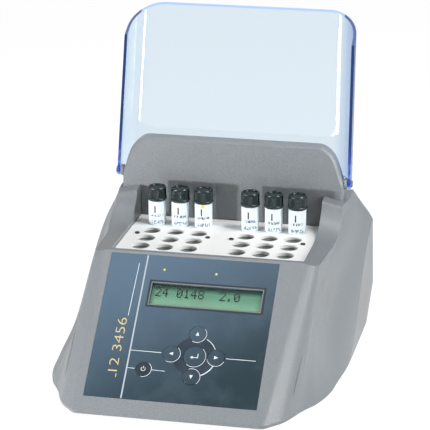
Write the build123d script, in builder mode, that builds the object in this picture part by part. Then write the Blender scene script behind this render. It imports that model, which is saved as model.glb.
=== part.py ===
from build123d import *
import os
from math import atan2, cos, degrees, radians, sin, tan

# Chemical oxygen demand reactor: a 24-well dry block heater with a tinted hood.
# Millimetres, +Z up, front towards -Y, origin under the middle of the feet.

# ---------------------------------------------------------------- driving dimensions
BODY_HALF_WIDTH = 133.2
BODY_HALF_DEPTH = 152.1
SKIN_BOTTOM = 4.0
SKIRT_TOP = 6.7
SKIN = 3.0
UPPER_SHIFT = 8.1
LIP_HEIGHT = 112.6
DECK_HEIGHT = 132.5
PANEL_SLOPE = 42.32
PANEL_MIDDLE = (-0.6, -89.65, 63.5)

WELL_PITCH = 22.0
BLOCK_OFFSET = 44.0
WELLS_MIDDLE_Y = 24.7
WELL_DIAMETER = 16.6
WELL_DEPTH = 65.2
VIAL_DIAMETER = 16.0
VIAL_CLEARANCE = 0.3
VIAL_HEIGHT = 101.0
VIAL_NECK = 2.0
CAP_GAP = 0.05
CAP_DIAMETER = 17.0
CAP_HEIGHT = 12.0
CAP_COLLAR = 18.2
CAP_COLLAR_HEIGHT = 1.6
VIAL_COLUMNS = (-66.0, -44.0, -22.0, 22.0, 44.0, 66.0)

PLATE_DROP = 4.3
PLATE_TOP = LIP_HEIGHT - PLATE_DROP
WELL_BOTTOM = PLATE_TOP - WELL_DEPTH
PLATE_THICKNESS = 3.0
PLATE_HALF_WIDTH = 87.0
PLATE_FRONT = -31.1
PLATE_BACK = 78.8
PLATE_GAP = 0.3
PLATE_SEAM = 0.1

WALL_FRONT = 79.3
WALL_THICKNESS = 13.5
WALL_RISE = 51.7
WALL_TOP = DECK_HEIGHT + WALL_RISE
ARM_HALF_WIDTH = 105.6
ARM_FRONT_HALF_WIDTH = 101.5
ARM_TILT = 0.21

HINGE_Y = 87.2
HINGE_RISE = 16.1
HINGE_Z = DECK_HEIGHT + HINGE_RISE
HINGE_PIN_DIAMETER = 5.0
HINGE_PIN_HEAD = 6.5
HINGE_RUNNING_GAP = 0.05
HINGE_BUSH_DIAMETER = 9.0
HINGE_PIN_INNER = 92.0
HINGE_PIN_OUTER = 112.1
LID_LEAN = 11.0
LID_HALF_WIDTH = 110.6
LID_TAPER = 0.0195
LID_DEPTH = 39.0
LID_BEND = 30.0
LID_THICKNESS = 2.7
LID_EDGE_AHEAD = 4.0
LID_FREE_LENGTH = 127.0
LID_END_SLOPE = 0.79
LID_LUG_RADIUS = 4.6
LID_FACE_START = 19.5

FOIL_WIDTH = 151.3
FOIL_LENGTH = 140.0
FOIL_THICKNESS = 0.5
KEY_RAISE = 0.5
KEY_TRAVEL = 0.5
KEY_GAP = 0.3
BOARD_DROP = 9.0
BOARD_THICKNESS = 1.6

# ---------------------------------------------------------------- shared planes
PANEL = Plane(
    origin=PANEL_MIDDLE,
    x_dir=(1, 0, 0),
    z_dir=(0, -sin(radians(PANEL_SLOPE)), cos(radians(PANEL_SLOPE))),
)
REAR_FOOT = (BODY_HALF_DEPTH, 31.3)
REAR_FOOT_RUN = 41.0
REAR_SHOULDER = (BODY_HALF_DEPTH - 14.6, DECK_HEIGHT - 26.9)
REAR_DECK = (BODY_HALF_DEPTH - 31.0, DECK_HEIGHT)
REAR_LEAN = atan2(REAR_FOOT[0] - REAR_SHOULDER[0], REAR_SHOULDER[1] - REAR_FOOT[1])
REAR = Plane(
    origin=(0, (REAR_FOOT[0] + REAR_SHOULDER[0]) / 2, (REAR_FOOT[1] + REAR_SHOULDER[1]) / 2),
    x_dir=(-1, 0, 0),
    z_dir=(0, cos(REAR_LEAN), sin(REAR_LEAN)),
)
UPPER_SIDE = Plane(origin=(UPPER_SHIFT, 0, 0), x_dir=(0, 1, 0), z_dir=(1, 0, 0))

os.makedirs("parts", exist_ok=True)


def front_y(height, inset=0.0):
    """Depth of the sloped front at one height, moved inwards by the inset."""
    run = (height - PANEL_MIDDLE[2]) / tan(radians(PANEL_SLOPE))
    return PANEL_MIDDLE[1] + run + inset / sin(radians(PANEL_SLOPE))


def middle_x(height):
    """Sideways place of the hull's middle line, which leans towards the well block."""
    return UPPER_SHIFT * (height - SKIN_BOTTOM) / (DECK_HEIGHT - SKIN_BOTTOM)


def mirrored(points, middle):
    """The same outline on the other side of the middle line."""
    return [(2 * middle - x, y) for x, y in points]


# Plan of the nose's rounded base corner and of the hull's bulging side at three heights.
NOSE_CORNER = ((78.5, -152.1), (87.1, -146.9), (96.1, -136.5), (102.3, -124.2), (106.3, -113.3))
NOSE_BACK = 40.0
NOSE_TOP_CORNER = 11.0
BULGE_LOW = (
    (99.5, -125.0), (106.3, -113.3), (112.1, -101.7), (116.4, -94.5), (120.4, -84.6),
    (124.0, -72.6), (127.3, -55.3), (130.4, -30.0), (134.0, 10.0), (138.0, 90.0), (141.0, 260.0),
)
BULGE_MIDDLE = (
    (107.0, 5.0), (113.4, 36.0), (119.0, 60.0), (124.6, 90.0), (128.8, 118.0), (130.8, 140.0),
    (132.5, 175.0), (136.0, 290.0),
)
BULGE_HIGH = (
    (108.5, 40.0), (114.2, 63.0), (118.2, 85.0), (119.6, 105.0), (119.2, 125.0), (117.0, 160.0),
    (112.0, 300.0),
)
BULGE_TOP = (
    (111.5, 64.0), (115.0, 84.0), (113.4, 100.0), (107.0, 125.0), (99.0, 160.0), (85.0, 310.0),
)
SIDE_PLAN = ((126.4, -70.0), (127.4, -52.0), (129.0, -34.0), (131.3, -11.0), (132.6, 40.0),
             (133.1, 92.0), (133.2, 170.0))
BULGE_INSET = (0.89, 0.27, 0.36)
HULL_SECTIONS = (
    (SKIN_BOTTOM, BULGE_LOW), (DECK_HEIGHT - 28.5, BULGE_MIDDLE), (DECK_HEIGHT - 6.5, BULGE_HIGH),
    (DECK_HEIGHT + 14.5, BULGE_TOP),
)

# Side view of the arms beside the well block, from the lip back to the wall.
SEAT_LIP = LIP_HEIGHT + 0.1
SEAT_LOW = LIP_HEIGHT - 1.2
SEAT_HIGH = DECK_HEIGHT + 2.0
SEAT_CLIMB = SEAT_HIGH - SEAT_LOW
SEAT_FLAT = ((-36.2, SEAT_LIP), (14.3, SEAT_LOW))
SEAT_RISE = (
    (14.3, SEAT_LOW), (37.5, SEAT_LOW + 0.07 * SEAT_CLIMB), (51.0, SEAT_LOW + 0.3 * SEAT_CLIMB),
    (59.2, SEAT_LOW + 0.56 * SEAT_CLIMB), (63.9, SEAT_LOW + 0.81 * SEAT_CLIMB), (66.0, SEAT_HIGH),
)
SEAT_CREST = ((66.0, SEAT_HIGH), (68.2, SEAT_HIGH + 1.8), (72.0, SEAT_HIGH + 2.5))
SEAT_END = (WALL_FRONT + 0.5, SEAT_HIGH + 3.2)

# ---------------------------------------------------------------- nose and hull forms


def nose_form(inset, floor):
    """The wedge that carries the sloped panel, from a wide base to a narrow lip."""
    base_front = front_y(SKIRT_TOP, inset)
    corner = [(x - 0.8 * inset, max(y + 0.9 * inset, base_front)) for x, y in NOSE_CORNER]
    corner[0] = (corner[0][0], base_front)
    left_corner = mirrored(corner, 0.0)
    half = ARM_FRONT_HALF_WIDTH - inset
    back_half = ARM_HALF_WIDTH - inset
    top_front = front_y(LIP_HEIGHT, inset)
    radius = NOSE_TOP_CORNER - inset
    high = [
        (UPPER_SHIFT + half - radius, top_front),
        (UPPER_SHIFT + half - radius * 0.3, top_front + radius * 0.3),
        (UPPER_SHIFT + half, top_front + radius),
    ]
    high_back = (UPPER_SHIFT + back_half, NOSE_BACK)
    left_back = (UPPER_SHIFT - back_half, NOSE_BACK)
    left_high = mirrored(high, UPPER_SHIFT)
    with BuildPart() as form:
        for level in (floor, SKIRT_TOP):
            with BuildSketch(Plane.XY.offset(level)):
                with BuildLine():
                    Line(left_corner[0], corner[0])
                    Spline(*corner, tangents=((1, 0), (0.3, 1)))
                    Line(corner[-1], (corner[-1][0], NOSE_BACK))
                    Line((corner[-1][0], NOSE_BACK), (left_corner[-1][0], NOSE_BACK))
                    Line((left_corner[-1][0], NOSE_BACK), left_corner[-1])
                    Spline(*left_corner, tangents=((-1, 0), (-0.3, 1)))
                make_face()
        loft(ruled=True)
        with BuildSketch(Plane.XY.offset(SKIRT_TOP)) as low_sketch:
            with BuildLine():
                Line(left_corner[0], corner[0])
                Spline(*corner, tangents=((1, 0), (0.3, 1)))
                Line(corner[-1], (corner[-1][0], NOSE_BACK))
                Line((corner[-1][0], NOSE_BACK), (left_corner[-1][0], NOSE_BACK))
                Line((left_corner[-1][0], NOSE_BACK), left_corner[-1])
                Spline(*left_corner, tangents=((-1, 0), (-0.3, 1)))
            make_face()
        with BuildSketch(Plane.XY.offset(LIP_HEIGHT)) as high_sketch:
            with BuildLine():
                Line(left_high[0], high[0])
                ThreePointArc(*high)
                Line(high[-1], high_back)
                Line(high_back, left_back)
                Line(left_back, left_high[-1])
                ThreePointArc(*left_high)
            make_face()
        loft(ruled=True)
    return form.part


def hull_form(inset, floor):
    """The bulging body behind the nose: soft sides, leaning rear and a flat deck."""
    with BuildPart() as form:
        for level, outline in HULL_SECTIONS:
            shift = inset * BULGE_INSET[2]
            side = [(x - inset * BULGE_INSET[0], y + inset * BULGE_INSET[1]) for x, y in outline]
            other = mirrored(side, middle_x(level))
            with BuildSketch(Plane.XY.offset(level - shift)):
                with BuildLine():
                    Line(other[0], side[0])
                    Spline(*side)
                    Line(side[-1], other[-1])
                    Spline(*other)
                make_face()
        loft()
    with BuildPart() as plan:
        for level in (SKIN_BOTTOM, DECK_HEIGHT + 17.5):
            side = [(x - inset, y) for x, y in SIDE_PLAN]
            other = mirrored(side, middle_x(level))
            with BuildSketch(Plane.XY.offset(level)):
                with BuildLine():
                    Line((other[0][0], -140.0), (side[0][0], -140.0))
                    Line((side[0][0], -140.0), side[0])
                    Spline(*side)
                    Line(side[-1], other[-1])
                    Spline(*other)
                    Line(other[0], (other[0][0], -140.0))
                make_face()
        loft(ruled=True)
    with BuildPart() as outline_body:
        with BuildSketch(Plane.YZ):
            rise = (REAR_FOOT[1] - SKIN_BOTTOM) / REAR_FOOT_RUN
            with BuildLine():
                Polyline(
                    (-150.0, floor - 20.0),
                    (REAR_FOOT[0] - REAR_FOOT_RUN - (SKIN_BOTTOM - floor + 20.0) / rise, floor - 20.0),
                    REAR_FOOT,
                    REAR_SHOULDER,
                    REAR_DECK,
                    (WALL_FRONT + inset, DECK_HEIGHT),
                    (WALL_FRONT + inset, DECK_HEIGHT + 16.5),
                    (-150.0, DECK_HEIGHT + 16.5),
                    close=True,
                )
            make_face()
            if inset > 0:
                offset(amount=-inset, kind=Kind.INTERSECTION)
        extrude(amount=160.0, both=True)
    with BuildPart() as low_cut:
        with Locations((0, 0, floor)):
            Box(400, 500, 300, align=(Align.CENTER, Align.CENTER, Align.MIN))
    joined = form.part & plan.part & outline_body.part & low_cut.part
    return joined


def seat_cutter(side, back, drop):
    """Everything above the seat of one arm; it falls away outwards by the arm's tilt."""
    start = UPPER_SHIFT + side * (PLATE_HALF_WIDTH - 2.0)
    lift = 2.0 * ARM_TILT
    plane = Plane(origin=(start, back, lift - drop), x_dir=(0, 1, 0), z_dir=(1, 0, 0))
    with BuildPart() as cutter:
        with BuildSketch(plane):
            with BuildLine():
                Line(*SEAT_FLAT)
                Spline(*SEAT_RISE, tangents=((1, 0), (0.35, 1)))
                Spline(*SEAT_CREST, tangents=((0.35, 1), (1, 0.09)))
                Line(SEAT_CREST[-1], SEAT_END)
                Polyline(SEAT_END, (SEAT_END[0], WALL_TOP + 6.0), (-60.0, WALL_TOP + 6.0),
                         (-60.0, SEAT_LIP), SEAT_FLAT[0])
            make_face()
        extrude(amount=60.0, dir=(side, 0, -ARM_TILT))
    return cutter.part


# ---------------------------------------------------------------- upper housing
outer_nose = nose_form(0.0, SKIN_BOTTOM)
outer_hull = hull_form(0.0, SKIN_BOTTOM)
inner_nose = nose_form(SKIN, 0.0)
inner_hull = hull_form(SKIN, 0.0)

RECESS_BACK = WALL_FRONT + WALL_THICKNESS + 0.3
LEDGE_TOP = PLATE_TOP - PLATE_THICKNESS
LEDGE = 3.0

with BuildPart() as cavity:
    add(inner_nose)
    add(inner_hull)
    with Locations((UPPER_SHIFT, (PLATE_FRONT + RECESS_BACK) / 2, LEDGE_TOP - LEDGE)):
        Box(
            2 * (PLATE_HALF_WIDTH + 2.6),
            RECESS_BACK - PLATE_FRONT + 5.2,
            120,
            align=(Align.CENTER, Align.CENTER, Align.MIN),
            mode=Mode.SUBTRACT,
        )
    add(seat_cutter(1, 2.4, 3.0), mode=Mode.SUBTRACT)
    add(seat_cutter(-1, 2.4, 3.0), mode=Mode.SUBTRACT)


PLATE_MIDDLE_Y = (PLATE_FRONT + PLATE_BACK) / 2
SCREW_COLUMNS = (-77.0, -11.0, 11.0, 77.0)
PAN_SCREWS = ((-84.0, -128.0), (84.0, -128.0), (-110.0, -36.0), (110.0, -36.0), (-120.0, 88.0),
              (120.0, 88.0))
REAR_SCREWS = ((-98.0, 22.0), (98.0, 22.0), (-98.0, -22.0), (98.0, -22.0))
REAR_PANEL_WIDTH = 212.0
REAR_PANEL_HEIGHT = 56.0
REAR_PANEL_THICKNESS = 1.5
BOARD_POSTS = ((-58.0, 56.0), (70.0, 56.0), (-58.0, -58.0), (66.0, -58.0))
DISPLAY_MIDDLE = (15.6, 32.4)
DISPLAY_SIZE = (104.0, 26.6)
LCD_VIEW = (98.6, 21.0)
LED_PLACES = {"left": (-25.4, 56.4), "right": (21.4, 55.6)}
LED_DIAMETER = 3.0
KEYS = {
    "enter": (14.8, -25.1, 9.3),
    "up": (14.3, -3.7, 7.3),
    "left": (-5.7, -24.2, 7.3),
    "right": (33.7, -24.8, 7.3),
    "down": (14.9, -44.6, 7.3),
    "power": (-27.7, -40.8, 6.5),
}
INLET_X = -58.0
FUSE_X = -6.0
SWITCH_X = 46.0
INLET_SIZE = (30.4, 23.0)
FUSE_SIZE = (24.0, 15.0)
SWITCH_SIZE = (30.0, 22.4)
BLOCK_BOTTOM = WELL_BOTTOM - 3.1
BLOCK_TOP = LEDGE_TOP - 0.7
TRAY_HALF_WIDTH = 91.0
TRAY_HALF_LENGTH = 56.0
TRAY_FLOOR = BLOCK_BOTTOM - 16.0
TRAY_HEIGHT = 34.0
TRAY_SHEET = 1.2
TRAY_LEG_FOOT = 7.2
TRAY_LEGS = [(UPPER_SHIFT + x, y) for x in (-80.0, 80.0) for y in (-24.0, 72.0)]
BLOCK_WIDTH = 72.0
BLOCK_LENGTH = 90.0
HEATER_THICKNESS = 4.0
INSULATION_WALL = 6.4
SENSOR_DIAMETER = 4.0
SENSOR_LENGTH = 46.0
SENSOR_FOOT = TRAY_FLOOR + TRAY_SHEET + 0.3
SENSOR_GAP = 0.1
PLATE_SCREW_DIAMETER = 2.5
PLATE_SCREW_LENGTH = 8.0


def hole_grid(middle_x_position):
    """Centres of the twelve wells of one block."""
    return [
        (middle_x_position + (column - 1) * WELL_PITCH, WELLS_MIDDLE_Y + (row - 1.5) * WELL_PITCH)
        for column in range(3)
        for row in range(4)
    ]


def screw(name, places, plane, head, shank, length, head_height=1.8):
    """A group of identical pan head screws whose heads stand on one plane."""
    with BuildPart() as screws:
        with BuildSketch(plane):
            with Locations(*places):
                Circle(head / 2)
        extrude(amount=head_height)
        with BuildSketch(plane):
            with Locations(*places):
                Circle(shank / 2)
        extrude(amount=-length)
        with BuildSketch(plane.offset(head_height)):
            with Locations(*places):
                Rectangle(head * 0.7, head * 0.18)
                Rectangle(head * 0.18, head * 0.7)
        extrude(amount=-head_height * 0.55, mode=Mode.SUBTRACT)
    screws.part.label = name
    export_step(screws.part, "parts/" + name + ".step")


with BuildPart() as upper_housing:
    add(outer_nose)
    add(outer_hull)
    add(seat_cutter(1, 0.0, 0.0), mode=Mode.SUBTRACT)
    add(seat_cutter(-1, 0.0, 0.0), mode=Mode.SUBTRACT)
    add(cavity.part, mode=Mode.SUBTRACT)
    # recess over the wells, its open floor, and the slot of the wall
    with Locations((UPPER_SHIFT, (PLATE_FRONT - PLATE_GAP + RECESS_BACK) / 2, LEDGE_TOP)):
        Box(
            2 * PLATE_HALF_WIDTH + 2 * PLATE_GAP,
            RECESS_BACK - PLATE_FRONT + PLATE_GAP,
            120,
            align=(Align.CENTER, Align.CENTER, Align.MIN),
            mode=Mode.SUBTRACT,
        )
    with Locations((UPPER_SHIFT, WELLS_MIDDLE_Y, LEDGE_TOP - LEDGE - 1.0)):
        Box(
            2 * BLOCK_OFFSET + BLOCK_WIDTH + 2 * INSULATION_WALL + 3.0,
            BLOCK_LENGTH + 2 * INSULATION_WALL + 1.2,
            LEDGE + 2.0,
            align=(Align.CENTER, Align.CENTER, Align.MIN),
            mode=Mode.SUBTRACT,
        )
    # pockets in the sloped front for the foil, the window, the keys and the lamps
    with BuildSketch(PANEL):
        Rectangle(FOIL_WIDTH + 0.4, FOIL_LENGTH + 0.4)
    extrude(amount=-FOIL_THICKNESS, mode=Mode.SUBTRACT)
    with BuildSketch(PANEL):
        with Locations(DISPLAY_MIDDLE):
            Rectangle(LCD_VIEW[0] + 1.0, LCD_VIEW[1] + 1.0)
        for place_x, place_y, radius in KEYS.values():
            with Locations((place_x, place_y)):
                Circle(radius + KEY_GAP)
        for place in LED_PLACES.values():
            with Locations(place):
                Circle(LED_DIAMETER / 2 + 0.15)
    extrude(amount=-SKIN * 2.5, mode=Mode.SUBTRACT)
    # leaning rear opening with a ledge for the panel
    with BuildSketch(REAR):
        Rectangle(REAR_PANEL_WIDTH + 0.6, REAR_PANEL_HEIGHT + 0.6)
    extrude(amount=-REAR_PANEL_THICKNESS, mode=Mode.SUBTRACT)
    with BuildSketch(REAR):
        Rectangle(REAR_PANEL_WIDTH - 30.0, REAR_PANEL_HEIGHT - 8.0)
    extrude(amount=-SKIN * 3.0, mode=Mode.SUBTRACT)
    with BuildSketch(REAR):
        with Locations(*REAR_SCREWS):
            Circle(1.6)
    extrude(amount=-12.0, mode=Mode.SUBTRACT)
    # board posts under the sloped skin
    with BuildSketch(PANEL.offset(-BOARD_DROP)):
        with Locations(*BOARD_POSTS):
            Circle(3.5)
    extrude(amount=BOARD_DROP - SKIN + 0.6)
    with BuildSketch(PANEL.offset(-BOARD_DROP)):
        with Locations(*BOARD_POSTS):
            Circle(1.25)
    extrude(amount=BOARD_DROP - SKIN - 0.5, mode=Mode.SUBTRACT)

with BuildPart() as screw_posts:
    with BuildSketch(Plane.XY.offset(SKIRT_TOP)):
        with Locations(*PAN_SCREWS):
            Circle(5.0)
    extrude(amount=20.0)
    with BuildSketch(Plane.XY.offset(SKIRT_TOP)):
        for place_x, place_y in PAN_SCREWS[2:]:
            with Locations((place_x + (6.0 if place_x > 0 else -6.0), place_y)):
                Rectangle(16.0, 3.0)
        for place_x, place_y in PAN_SCREWS[:2]:
            with Locations((place_x, place_y - 7.0)):
                Rectangle(3.0, 16.0)
    extrude(amount=20.0)
    add(outer_nose + outer_hull, mode=Mode.INTERSECT)
    with BuildSketch(Plane.XY.offset(SKIRT_TOP)):
        with Locations(*PAN_SCREWS):
            Circle(1.6)
    extrude(amount=12.0, mode=Mode.SUBTRACT)

housing = upper_housing.part + screw_posts.part
housing.label = "upper_housing"
export_step(housing, "parts/upper_housing.step")
print("housing", housing.is_valid, len(housing.solids()), round(housing.volume))

# ---------------------------------------------------------------- shell pieces
WALL_GAP = 0.2
WALL_HALF_WIDTH = ARM_HALF_WIDTH - 1.0
WALL_OUTLINE = (
    (WALL_HALF_WIDTH, WALL_TOP - 38.6), (WALL_HALF_WIDTH - 2.2, WALL_TOP - 29.8),
    (WALL_HALF_WIDTH - 6.9, WALL_TOP - 15.3), (WALL_HALF_WIDTH - 11.4, WALL_TOP - 7.3),
    (WALL_HALF_WIDTH - 19.0, WALL_TOP - 1.3), (WALL_HALF_WIDTH - 26.6, WALL_TOP),
)

with BuildPart() as rear_wall:
    with BuildSketch(Plane(origin=(UPPER_SHIFT, WALL_FRONT + WALL_GAP, 0), x_dir=(1, 0, 0),
                           z_dir=(0, -1, 0))):
        with BuildLine():
            Line((0, DECK_HEIGHT + WALL_GAP), (WALL_HALF_WIDTH, DECK_HEIGHT + WALL_GAP))
            Line((WALL_HALF_WIDTH, DECK_HEIGHT + WALL_GAP), WALL_OUTLINE[0])
            Spline(*WALL_OUTLINE, tangents=((0, 1), (-1, 0)))
            Line(WALL_OUTLINE[-1], (0, WALL_TOP))
            mirror(about=Plane.YZ)
        make_face()
        with Locations((0, LEDGE_TOP + WALL_GAP)):
            Rectangle(
                2 * PLATE_HALF_WIDTH - 2 * PLATE_GAP,
                DECK_HEIGHT - LEDGE_TOP + 4.0,
                align=(Align.CENTER, Align.MIN),
            )
    extrude(amount=-(WALL_THICKNESS - WALL_GAP))
    front_face = rear_wall.faces().sort_by(Axis.Y)[0]
    crest = front_face.edges().filter_by(lambda edge: edge.center().Z > WALL_TOP - 34.2)
    chamfer(crest, length=2.2)
    with Locations(
        Location((UPPER_SHIFT + ARM_HALF_WIDTH, HINGE_Y, HINGE_Z), (0, 90, 0)),
        Location((UPPER_SHIFT - ARM_HALF_WIDTH, HINGE_Y, HINGE_Z), (0, 90, 0)),
    ):
        Cylinder(HINGE_BUSH_DIAMETER / 2, 2 * (ARM_HALF_WIDTH - HINGE_PIN_INNER) + 1.0,
                 mode=Mode.SUBTRACT)
rear_wall.part.label = "rear_wall"
export_step(rear_wall.part, "parts/rear_wall.step")

for side, word in ((1, "right"), (-1, "left")):
    axis_plane = Plane(origin=(UPPER_SHIFT, HINGE_Y, HINGE_Z), x_dir=(0, 1, 0), z_dir=(side, 0, 0))
    with BuildPart() as hinge_bush:
        with BuildSketch(axis_plane.offset(HINGE_PIN_INNER)):
            Circle(HINGE_BUSH_DIAMETER / 2)
        extrude(amount=WALL_HALF_WIDTH + 0.2 - HINGE_PIN_INNER)
        with BuildSketch(axis_plane.offset(WALL_HALF_WIDTH + 0.2)):
            Circle(HINGE_BUSH_DIAMETER / 2 + 0.6)
        extrude(amount=2.4)
        with BuildSketch(axis_plane.offset(HINGE_PIN_INNER + 0.5)):
            Circle(HINGE_PIN_DIAMETER / 2)
        extrude(amount=20.0, mode=Mode.SUBTRACT)
    hinge_bush.part.label = "hinge_bush_" + word
    export_step(hinge_bush.part, "parts/hinge_bush_" + word + ".step")
    with BuildPart() as hinge_pin:
        with BuildSketch(axis_plane.offset(HINGE_PIN_INNER + 0.6)):
            Circle(HINGE_PIN_DIAMETER / 2)
        extrude(amount=HINGE_PIN_OUTER - 1.2 - HINGE_PIN_INNER - 0.6)
        with BuildSketch(axis_plane.offset(HINGE_PIN_OUTER - 1.2)):
            Circle(HINGE_PIN_HEAD / 2)
        extrude(amount=1.2)
        chamfer(hinge_pin.faces().sort_by(Axis.X)[-1 if side > 0 else 0].edges(), length=0.5)
    hinge_pin.part.label = "hinge_pin_" + word
    export_step(hinge_pin.part, "parts/hinge_pin_" + word + ".step")

# ---------------------------------------------------------------- tinted hood, standing open
lean = radians(LID_LEAN)
LID_UP = Vector(0, sin(lean), cos(lean))
LID_BACK = Vector(0, cos(lean), -sin(lean))
LID_ORIGIN = Vector(UPPER_SHIFT, HINGE_Y, HINGE_Z) - LID_BACK * LID_EDGE_AHEAD


def lid_section(distance, wall):
    """Cross section plane data of the hood at one distance along its free edge."""
    half = LID_HALF_WIDTH - LID_TAPER * distance - wall
    depth = LID_DEPTH - wall
    bend = LID_BEND - wall
    plane = Plane(origin=LID_ORIGIN + LID_UP * distance, x_dir=(1, 0, 0), z_dir=LID_UP)
    return plane, half, depth, bend


def hood_block(wall, low, high):
    """Solid block inside one skin of the hood, between two cross sections."""
    with BuildPart() as block:
        for distance in (low, high):
            plane, half, depth, bend = lid_section(distance, wall)
            ahead = -4.0 if wall > 0 else 0.0
            with BuildSketch(plane):
                with BuildLine():
                    Line((-half, ahead), (half, ahead))
                    Line((half, ahead), (half, depth - bend))
                    TangentArc((half, depth - bend), (half - bend, depth), tangent=(0, 1))
                    Line((half - bend, depth), (bend - half, depth))
                    TangentArc((bend - half, depth), (-half, depth - bend), tangent=(-1, 0))
                    Line((-half, depth - bend), (-half, ahead))
                make_face()
        loft(ruled=True)
    return block.part


LID_SIDE = Plane(origin=LID_ORIGIN, x_dir=LID_BACK, z_dir=(1, 0, 0))
LID_FACE = Plane(origin=LID_ORIGIN, x_dir=(1, 0, 0), z_dir=LID_BACK * -1)
lid_long = LID_FREE_LENGTH + LID_END_SLOPE * LID_DEPTH
hood_outside = hood_block(0.0, -12.0, lid_long + 12.0)
hood_inside = hood_block(LID_THICKNESS, -14.0, lid_long + 14.0)
with BuildPart() as lid:
    add(hood_outside)
    add(hood_inside, mode=Mode.SUBTRACT)
    # slanted front end and rounded hinge lugs, seen from the side
    with BuildSketch(LID_SIDE) as side_view:
        with BuildLine():
            Polyline(
                (0.0, 0.0),
                (0.0, LID_FREE_LENGTH),
                (LID_DEPTH + 1.0, LID_FREE_LENGTH + LID_END_SLOPE * (LID_DEPTH + 1.0)),
                (LID_DEPTH + 1.0, 7.0),
                (LID_EDGE_AHEAD + 12.0, 0.0),
                (LID_EDGE_AHEAD, -LID_LUG_RADIUS),
                close=True,
            )
        make_face()
        tight = side_view.vertices().filter_by_position(
            Axis.Y, LID_FREE_LENGTH - 1.0, LID_FREE_LENGTH + 1.0
        )
        fillet(tight, radius=3.0)
        with Locations((LID_EDGE_AHEAD, 0.0)):
            Circle(LID_LUG_RADIUS)
    extrude(amount=150.0, both=True, mode=Mode.INTERSECT)
    # the broad face starts higher, so that it swings over the wall
    with BuildSketch(LID_FACE) as face_view:
        with BuildLine():
            Polyline(
                (-86.0, LID_FACE_START), (-92.0, LID_FACE_START - 4.0), (-99.0, 6.0),
                (-101.0, -20.0), (101.0, -20.0), (99.0, 6.0), (92.0, LID_FACE_START - 4.0),
                (86.0, LID_FACE_START), close=True,
            )
        make_face()
    extrude(amount=-(LID_DEPTH + 5.0), mode=Mode.SUBTRACT)
    with BuildSketch(LID_SIDE):
        with Locations((LID_EDGE_AHEAD, 0.0)):
            Circle(HINGE_PIN_DIAMETER / 2 + HINGE_RUNNING_GAP)
    extrude(amount=150.0, both=True, mode=Mode.SUBTRACT)
lid.part.label = "lid"
export_step(lid.part, "parts/lid.step")
print("lid", lid.part.is_valid, len(lid.part.solids()), lid.part.bounding_box())
print("wall", rear_wall.part.is_valid, len(rear_wall.part.solids()),
      rear_wall.part.bounding_box())

# ---------------------------------------------------------------- well plate and heating
for side, word in ((-1, "left"), (1, "right")):
    plate_middle = UPPER_SHIFT + side * (PLATE_HALF_WIDTH + PLATE_SEAM / 2) / 2
    with BuildPart() as well_plate:
        with BuildSketch(Plane.XY.offset(LEDGE_TOP)):
            with Locations((plate_middle, PLATE_MIDDLE_Y)):
                Rectangle(PLATE_HALF_WIDTH - PLATE_SEAM / 2, PLATE_BACK - PLATE_FRONT)
            with Locations(*hole_grid(UPPER_SHIFT + side * BLOCK_OFFSET)):
                Circle(WELL_DIAMETER / 2, mode=Mode.SUBTRACT)
            with Locations(*[(UPPER_SHIFT + side * abs(x), WELLS_MIDDLE_Y) for x in SCREW_COLUMNS[2:]]):
                Circle(1.7, mode=Mode.SUBTRACT)
        extrude(amount=PLATE_THICKNESS)
        top_edges = well_plate.faces().sort_by(Axis.Z)[-1].outer_wire().edges()
        outer_edges = top_edges.sort_by(Axis.X)
        fillet(outer_edges[-1 if side > 0 else 0], radius=0.4)
    well_plate.part.label = "well_plate_" + word
    export_step(well_plate.part, "parts/well_plate_" + word + ".step")

screw("plate_screws", [(UPPER_SHIFT + x, WELLS_MIDDLE_Y) for x in SCREW_COLUMNS],
      Plane.XY.offset(PLATE_TOP), 4.4, PLATE_SCREW_DIAMETER, PLATE_SCREW_LENGTH, 1.1)

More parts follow.
